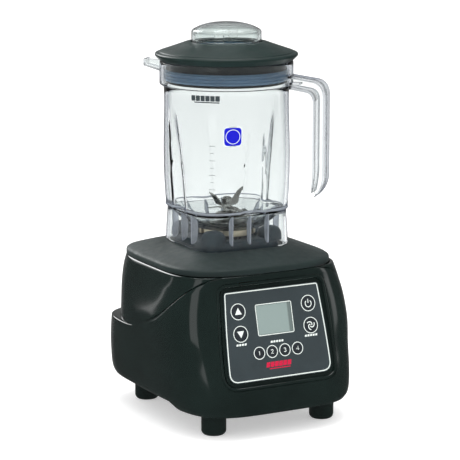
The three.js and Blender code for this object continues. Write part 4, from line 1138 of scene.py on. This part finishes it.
def surface_band(angle, z, radius, width, grow):
    """A thin printed ring that follows the jar's outside."""
    rings = []
    for k in range(48):
        turn = k / 48 * math.tau
        ring = []
        for r, out in ((radius, grow), (radius + width, grow), (radius + width, grow + 0.08), (radius, grow + 0.08)):
            a = angle + r * math.cos(turn) / jar_radius(angle, z)
            reach = jar_radius(a, z + r * math.sin(turn)) + out
            ring.append((reach * math.cos(a), AXIS_Y + reach * math.sin(a), z + r * math.sin(turn)))
        rings.append(ring)
    return skin(rings, close=True)


def make_jar_body():
    """The clear moulding: wall, floor and skirt, with the pouring lip, the handle and its brace."""
    points, faces = jar_shell()
    jar = new_piece("jar", points, faces, clear_copolyester(), None)
    combine(jar, cutter(*lip_rings(0.0, 73.5, JAR_TOP_Z - 0.4)), "UNION")
    combine(jar, cutter(*lip_rings(2.3, 69.0, JAR_TOP_Z + 6)), "DIFFERENCE")
    combine(jar, cutter(*make_grip()), "UNION")
    brace = slab(box_outline(81, 382, 14, 2.2, 0.6), -7, 7)
    combine(jar, cutter([turned_by(GRIP_ANGLE, r, w, z) for r, z, w in brace[0]], brace[1]), "UNION")
    tidy_mesh(jar, 40)
    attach(jar, "jar")
    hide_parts(*JAR_NODES)


def make_label(blue, white):
    """A blue label with a white border and a plain ring."""
    angle, z = math.radians(-112.4), 328
    parts = [(1, surface_patch(angle, z, 21.5, 22.0, 4.5, 0.05, 0.06)),
             (0, surface_patch(angle, z, 19.6, 20.2, 3.8, 0.12)),
             (1, surface_band(angle, z, 7.6, 0.7, 0.25))]
    points, faces, numbers = gathered(parts)
    new_piece("jar_label", points, faces, [blue, white], "jar", (), "clear_plastic", 40, numbers)


def make_scale(grey):
    """Plain blocks under the collar, a line below them, and the scale's long and short strokes."""
    def printed(degrees, z, width, height, radius, aside=0.0):
        return 0, surface_patch(math.radians(degrees) + aside, z, width, height, radius, 0.04, 0.08)

    block_step = 6.1 / 76
    parts = [printed(-137.8, 370.6, 5.0, 6.2, 0.6, (k - 2.5) * block_step) for k in range(6)]
    parts.append(printed(-136.6, 366.0, 30, 1.2, 0.5))
    for k in range(9):
        parts.append(printed(-131, 252 + k * 8.2, 7 if k % 2 == 0 else 4, 0.4, 0.18))
    new_piece("jar_scale", *gathered(parts)[:2], grey, "jar", (), "clear_plastic", 40)


def make_jar():
    """The jar, its ribs and its printed marks."""
    make_jar_body()
    new_piece("jar_ribs", *skirt_ribs(), satin_copolyester(), "jar", (), "clear_plastic", 40)
    make_label(ink("blue vinyl label", tuple(colours().sticker)), ink("white screen ink", tuple(colours().ink)))
    make_scale(ink("grey screen ink", srgb("#3c4548")))


# ---------------------------------------------------------------- cutting parts
def make_blade_seat(finish):
    """The bearings' turned housing, with its flange on the jar's floor."""
    low, high = corners("bearing_housing")
    flange = high.z - 13
    profile = [(9.5, low.z), (14.7, low.z), (14.7, flange, 0.2), (22, flange, 0.3), (22, flange + 2.5, 0.9),
               (14, flange + 5, 2.5), (10, flange + 12, 2), (5.5, flange + 13, 0.4), (5.5, flange + 8, 0.2),
               (9.5, flange + 8, 0.2)]
    points, faces = turned(profile, 96, (0.0, AXIS_Y), 0.4)
    new_piece("blade_seat", points, faces, finish, "jar", ["bearing_housing"], "steel")


def make_jar_nut(finish):
    """The nut under the jar, with a notch for a spanner in each of its six sides."""
    low, high = corners("retainer_nut")
    rim, notch = 33, 29.0
    half = [(0.12, notch), (0.125, rim - 0.6), (0.16, rim), (0.32, rim)]
    around = [(-0.5, rim), *[(-share, r) for share, r in reversed(half)], (0, notch - 0.4), *half]
    outline = []
    for k in range(6):
        for share, r in around:
            angle = (k + share) / 6 * math.tau
            outline.append((r * math.cos(angle), AXIS_Y + r * math.sin(angle)))
    bore = disc_outline(0, AXIS_Y, 15.3, 64)
    points, faces = slab(outline, low.z, high.z, [bore])
    worn_edges(new_piece("jar_nut", points, faces, finish, "jar", ["retainer_nut"], "satin_nut", 30), 0.5)


def make_cutter_nut(finish):
    """The domed hexagon nut that holds the blades."""
    low, high = corners("blade_nut")
    hexagon = [(6.4 * math.cos(k / 6 * math.tau), AXIS_Y + 6.4 * math.sin(k / 6 * math.tau)) for k in range(6)]
    profile = [(0, low.z + 5), (5.3, low.z + 5), (5.2, low.z + 6), (4.2, low.z + 7.6, 1.5), (0, high.z)]
    parts = [(0, slab(hexagon, low.z, low.z + 5.6)), (0, turned(profile, 48, (0.0, AXIS_Y), 0.3))]
    points, faces, _ = gathered(parts)
    worn_edges(new_piece("cutter_nut", points, faces, finish, "blades", ["blade_nut"], "steel", 30), 0.35)


def make_cutter():
    """The bearings' housing, the two nuts and the blades' ground edges."""
    steel, nut = brushed_steel(), plated_nut()
    make_blade_seat(steel)
    make_jar_nut(nut)
    make_cutter_nut(steel)
    for name in ("blade_upper", "blade_lower"):
        worn_edges(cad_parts[name], 0.25, 2, "ground edges")


# ---------------------------------------------------------------- lid and cap
def make_lid():
    """The rubber lid with its plug in the darker, duller fitting rubber as painted shade inside the jar, and the
    finned seal round the plug.
    """
    axis = (0.0, AXIS_Y)
    low, high = corners("lid")
    top, bottom = high.z, low.z
    profile = [
        (37, top - 13, 0.5), (37, top - 3.6, 0.4), (40.8, top - 3.4, 0.4), (41.4, top, 0.9), (46, top - 0.6, 2),
        (60, top - 5.6, 8), (76.6, top - 11.2, 2), (77.0, top - 11.9, 0.3), (80.6, top - 12.8, 1.2),
        (81.8, top - 14.0, 0.6), (81.6, top - 15.8, 0.7), (78.8, top - 18.6, 2.0), (75.8, JAR_TOP_Z + 0.4, 0.8),
        (69.5, JAR_TOP_Z + 0.4, 0.4), (69.5, 397, 0.3), (66.5, 396.8, 0.2), (66.5, 384.3, 0.2), (69.5, 384, 0.3),
        (69.5, bottom, 1.0), (64, bottom, 1.0), (64, 411, 2), (52, 418, 2), (40.5, 421, 1), (40.5, 415, 0.6)]
    points, faces = turned(profile, 144, axis, 0.5, 5)
    # Painted shade: faces below the jar's top, inside the jar, take the darker fitting rubber in place of the lid's
    # own colour.
    plug = [1 if max(points[i][2] for i in face) < JAR_TOP_Z + 1 else 0 for face in faces]
    new_piece("lid_body", points, faces, [lid_rubber(), fitting_rubber()], "lid", ["lid"], "lid_rubber", 45, plug)

    inner, body, fin = 66.8, 69.7, 71.7
    profile = [(inner, 384.4), (body, 384.4)]
    for z in (386.9, 390.7, 394.5):
        profile += [(body, z - 1.5, 0.4), (fin, z - 0.25, 0.35), (fin, z + 0.15, 0.2), (body, z + 0.5, 0.3)]
    profile += [(body, 396.4), (inner, 396.4)]
    points, faces = turned(profile, 144, axis, 0.3, 3)
    new_piece("lid_seal", points, faces, gasket_silicone(), "lid", ["lid_gasket"], "silicone", 45)


def make_cap():
    """The clear measuring cap, with two lugs that turn under the lid's rim."""
    low, high = corners("lid_cap")
    seat = corners("lid")[1].z - 3.0
    profile = [
        (32.4, low.z, 0.4), (34.8, low.z, 0.6), (34.8, seat, 0.5), (39.8, seat, 0.6), (40, seat + 2, 0.8),
        (40, 439.6, 1.2), (38.2, 441.5, 2.2), (30, 445.6, 6), (18, 448.8, 8), (0, high.z), (0, high.z - 2.6),
        (18, 446.2, 8), (30, 442.8, 6), (36.6, 438.6, 2.2), (36.8, seat + 3, 1.2), (32.4, seat + 3, 0.8)]
    points, faces = turned(profile, 144, (0.0, AXIS_Y), 0.5, 5)
    # The cap's edge colour is its grey depth together with a painted reflection of the dim room, seen where its wall
    # turns edge on.
    clear = clear_copolyester("moulded clear cap copolyester", srgb("#e6ecea"), srgb("#2f393e"), 20.0)
    cap = new_piece("measuring_cap", points, faces, clear, None)
    for angle in (-130, 50):
        lug = []
        for r, grow in ((38.6, 0), (40.9, 0), (41.5, 0.8)):
            lug.append([turned_by(math.radians(angle), r, w, z) for w, z in
                        box_outline(0, 433.5, 11 - grow, 9 - grow, 1.6)])
        combine(cap, cutter(*skin(lug)), "UNION")
    tidy_mesh(cap, 40)
    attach(cap, "cap")
    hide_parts("lid_cap")


# ---------------------------------------------------------------- the frame's own pieces
def finish_frame_nodes():
    """Gives every frame node that still shows the finish of its slot."""
    rubber, steel, nut = fitting_rubber(), brushed_steel(), plated_nut()
    finishes = {
        "base_plate": rubber, "cord_gland": rubber, "lcd_module": display_glass(), "control_board": board_laminate(),
        "motor_stator": copper_winding(), "motor_bracket_upper": cast_aluminium(), "motor_bearing_upper": steel,
        "motor_tray": rubber, "carbon_brush_left": carbon_block(), "carbon_brush_right": carbon_block(),
        "rotor_core": iron_laminate(), "commutator": copper_winding(), "motor_shaft": steel, "cooling_fan": rubber,
        "drive_socket": rubber, "jar_bearing_lower": steel, "jar_bearing_upper": steel, "blade_shaft": steel,
        "drive_spline": nut, "blade_lower": steel, "blade_spacer": steel, "blade_upper": steel,
        "cap_seal": gasket_silicone(),
    }
    for place in FOOT_PLACES:
        finishes[f"foot_screw_{place}"] = steel
    for name, finish in finishes.items():
        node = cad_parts[name]
        if not node.material_slots:
            node.data.materials.append(finish)
        for entry in node.material_slots:
            entry.material = finish


# ---------------------------------------------------------------- stage
BACKDROP_SIDE = (0.477, 0.879, 0.0)
WINDOW_SIDE = (-0.193, 0.863, 0.467)
LAMPS = (  # name, place, aim, width and height, lean in degrees, power
    ("key_left", (-1.65, -1.29, 0.8), (0, 0, 0.16), (0.8, 1.3), 0, 2.9),
    ("fill_right", (1.9, -0.9, 0.9), (0, 0, 0.2), (0.4, 1.4), 0, 2.0),
    ("strip_left", (-1.42, 1.68, 0.3), (-0.1, 0, 0.14), (0.07, 1.1), -38, 0.3),
    ("rim_back", (-0.5, 1.9, 1.25), (0, 0, 0.15), (1.8, 0.35), 0, 4),
    ("top", (0.1, 0.1, 1.9), (0, 0, 0.3), (1.3, 1.3), 0, 16),
)


def lay_floor(scene):
    """A wide sheet of matt white paper, which takes a soft contact shadow and glows a little."""
    floor_mesh = bpy.data.meshes.new("floor")
    floor_mesh.from_pydata([(-9, -9, 0), (9, -9, 0), (9, 9, 0), (-9, 9, 0)], [], [(0, 1, 2, 3)])
    floor = bpy.data.objects.new("floor", floor_mesh)
    scene.collection.objects.link(floor)
    paper, tree, shader = surface("matt white paper", Base_Color=(0.8, 0.8, 0.8, 1), Roughness=0.9,
                                  Emission_Color=(1, 1, 1, 1), Emission_Strength=0.42)
    if tree:
        grain(tree, shader, 1.0, 0.01)
    floor_mesh.materials.append(paper)
    floor.visible_glossy = False


def make_surround(scene):
    """White paper behind the object and a dim room in front of it.

    Only what mirrors or refracts sees these two, and what refracts sees both brighter, as a clear
    wall does among more white paper than stands here. All else sees an even white.
    """
    world = bpy.data.worlds.new("studio")
    scene.world = world
    world.use_nodes = True
    tree = world.node_tree
    tree.nodes.clear()
    path = add_node(tree, "ShaderNodeLightPath")
    place = add_node(tree, "ShaderNodeTexCoord")

    def reflected_or_refracted(reflected, refracted):
        return add_node(tree, "ShaderNodeMix", {"Factor": path.outputs["Is Transmission Ray"], "A": reflected,
                        "B": refracted}, data_type="FLOAT").outputs[0]

    def toward(side, near, full, low, high):
        """Strength that rises from low to high as a direction turns to a side."""
        turn = add_node(tree, "ShaderNodeVectorMath", {0: place.outputs["Generated"], 1: side},
                        operation="DOT_PRODUCT")
        return add_node(tree, "ShaderNodeMapRange", {"Value": turn.outputs["Value"], "From Min": near,
                        "From Max": full, "To Min": low, "To Max": high},
                        interpolation_type="SMOOTHSTEP").outputs["Result"]

    dim, pale = reflected_or_refracted(0.07, 0.5), reflected_or_refracted(0.22, 1.0)
    room = toward(BACKDROP_SIDE, 0.72, 0.93, dim, pale)
    # A small bright window behind and above draws a thin line along each rounded upper edge.
    window = toward(WINDOW_SIDE, 0.93, 0.965, 0.0, reflected_or_refracted(5.0, 0.0))
    both = add_node(tree, "ShaderNodeMath", {0: room, 1: window}, operation="ADD")
    seen = add_node(tree, "ShaderNodeMix", {"Factor": path.outputs["Is Glossy Ray"], "A": 1.12,
                    "B": both.outputs["Value"]}, data_type="FLOAT")
    light = add_node(tree, "ShaderNodeBackground", {"Color": (1, 1, 1, 1), "Strength": seen.outputs[0]})
    add_node(tree, "ShaderNodeOutputWorld", {"Surface": light.outputs[0]})


def hang_lamps(scene):
    """Five soft rectangular lamps, each turned to its aim and leaned about it."""
    for name, place, aim, size, lean, power in LAMPS:
        lamp = bpy.data.lights.new(name, "AREA")
        lamp.shape, lamp.size, lamp.size_y, lamp.energy = "RECTANGLE", *size, power
        holder = bpy.data.objects.new(name, lamp)
        scene.collection.objects.link(holder)
        holder.location = place
        facing = (Vector(aim) - Vector(place)).to_track_quat("-Z", "Y")
        holder.rotation_euler = (facing.to_matrix() @ Matrix.Rotation(math.radians(lean), 3, "Z")).to_euler()


def set_camera(scene):
    """A long lens at the front left, looking a little down."""
    down, left = 11.145, 28.467  # degrees
    lens = bpy.data.cameras.new("camera")
    lens.lens, lens.sensor_width, lens.sensor_fit = 161.71, 36, "HORIZONTAL"
    lens.clip_start, lens.clip_end = 0.05, 50
    camera = bpy.data.objects.new("camera", lens)
    scene.collection.objects.link(camera)
    camera.location = (-1.1158, -2.0534, 0.6711)
    camera.rotation_euler = (math.radians(90 - down), 0, math.radians(-left))
    bpy.context.scene.camera = camera


def make_stage():
    """The floor, the surround, the lamps and the camera."""
    scene = bpy.context.scene
    scene.view_settings.view_transform = "Standard"
    scene.view_settings.look = "None"
    lay_floor(scene)
    make_surround(scene)
    hang_lamps(scene)
    set_camera(scene)


# ---------------------------------------------------------------- operators and panel
class BLENDER_OT_stage(bpy.types.Operator):
    """Lays the floor and sets up the light and the camera"""
    bl_idname = "countertop.stage"
    bl_label = "Build the stage"
    bl_options = {"REGISTER", "UNDO"}

    def execute(self, context):
        make_stage()
        return {"FINISHED"}


class BLENDER_OT_housing(bpy.types.Operator):
    """Builds the two gloss shells and the bezel round the panel"""
    bl_idname = "countertop.housing"
    bl_label = "Build the housing"
    bl_options = {"REGISTER", "UNDO"}

    def execute(self, context):
        make_housing()
        return {"FINISHED"}


class BLENDER_OT_deck(bpy.types.Operator):
    """Builds the soft-touch top of the base"""
    bl_idname = "countertop.deck"
    bl_label = "Build the deck"
    bl_options = {"REGISTER", "UNDO"}

    def execute(self, context):
        make_deck()
        return {"FINISHED"}


class BLENDER_OT_panel(bpy.types.Operator):
    """Builds the membrane, its print, its keys and the display"""
    bl_idname = "countertop.panel"
    bl_label = "Build the panel"
    bl_options = {"REGISTER", "UNDO"}

    def execute(self, context):
        make_panel()
        return {"FINISHED"}


class BLENDER_OT_feet(bpy.types.Operator):
    """Builds the four round feet"""
    bl_idname = "countertop.feet"
    bl_label = "Build the feet"
    bl_options = {"REGISTER", "UNDO"}

    def execute(self, context):
        make_feet()
        return {"FINISHED"}


class BLENDER_OT_seat(bpy.types.Operator):
    """Builds the rubber seat and its four posts"""
    bl_idname = "countertop.seat"
    bl_label = "Build the seat"
    bl_options = {"REGISTER", "UNDO"}

    def execute(self, context):
        make_seat()
        return {"FINISHED"}


class BLENDER_OT_jar(bpy.types.Operator):
    """Builds the clear jar with its skirt, lip and handle, and its printed marks"""
    bl_idname = "countertop.jar"
    bl_label = "Build the jar"
    bl_options = {"REGISTER", "UNDO"}

    def execute(self, context):
        make_jar()
        return {"FINISHED"}


class BLENDER_OT_cutter(bpy.types.Operator):
    """Builds the bearing seat, the nuts and the blades' ground edges"""
    bl_idname = "countertop.cutter"
    bl_label = "Build the cutter"
    bl_options = {"REGISTER", "UNDO"}

    def execute(self, context):
        make_cutter()
        return {"FINISHED"}


class BLENDER_OT_lid(bpy.types.Operator):
    """Builds the rubber lid and its seal"""
    bl_idname = "countertop.lid"
    bl_label = "Build the lid"
    bl_options = {"REGISTER", "UNDO"}

    def execute(self, context):
        make_lid()
        return {"FINISHED"}


class BLENDER_OT_cap(bpy.types.Operator):
    """Builds the clear measuring cap"""
    bl_idname = "countertop.cap"
    bl_label = "Build the cap"
    bl_options = {"REGISTER", "UNDO"}

    def execute(self, context):
        make_cap()
        return {"FINISHED"}


class BLENDER_OT_inside(bpy.types.Operator):
    """Gives the frame's own pieces their finishes"""
    bl_idname = "countertop.inside"
    bl_label = "Finish the inside"
    bl_options = {"REGISTER", "UNDO"}

    def execute(self, context):
        finish_frame_nodes()
        return {"FINISHED"}


OPERATORS = (
    BLENDER_OT_stage, BLENDER_OT_housing, BLENDER_OT_deck, BLENDER_OT_panel, BLENDER_OT_feet, BLENDER_OT_seat,
    BLENDER_OT_jar, BLENDER_OT_cutter, BLENDER_OT_lid, BLENDER_OT_cap, BLENDER_OT_inside,
)


class BLENDER_PT_countertop(bpy.types.Panel):
    """Lists the blender's colours, sizes and build steps."""
    bl_label = "Countertop blender"
    bl_space_type = "VIEW_3D"
    bl_region_type = "UI"
    bl_category = "Countertop blender"

    def draw(self, context):
        layout = self.layout
        for group in (context.scene.blender_colours, context.scene.blender_sizes):
            for key in group.__annotations__:
                layout.prop(group, key)
        for step in OPERATORS:
            layout.operator(step.bl_idname)


CLASSES = (BlenderColours, BlenderSizes, *OPERATORS, BLENDER_PT_countertop)


def register():
    for cls in CLASSES:
        bpy.utils.register_class(cls)
    bpy.types.Scene.blender_colours = PointerProperty(type=BlenderColours)
    bpy.types.Scene.blender_sizes = PointerProperty(type=BlenderSizes)


def unregister():
    del bpy.types.Scene.blender_sizes
    del bpy.types.Scene.blender_colours
    for cls in reversed(CLASSES):
        bpy.utils.unregister_class(cls)


def main():
    register()
    for step in OPERATORS:
        group, name = step.bl_idname.split(".")
        getattr(getattr(bpy.ops, group), name)()


if __name__ == "__main__":
    main()
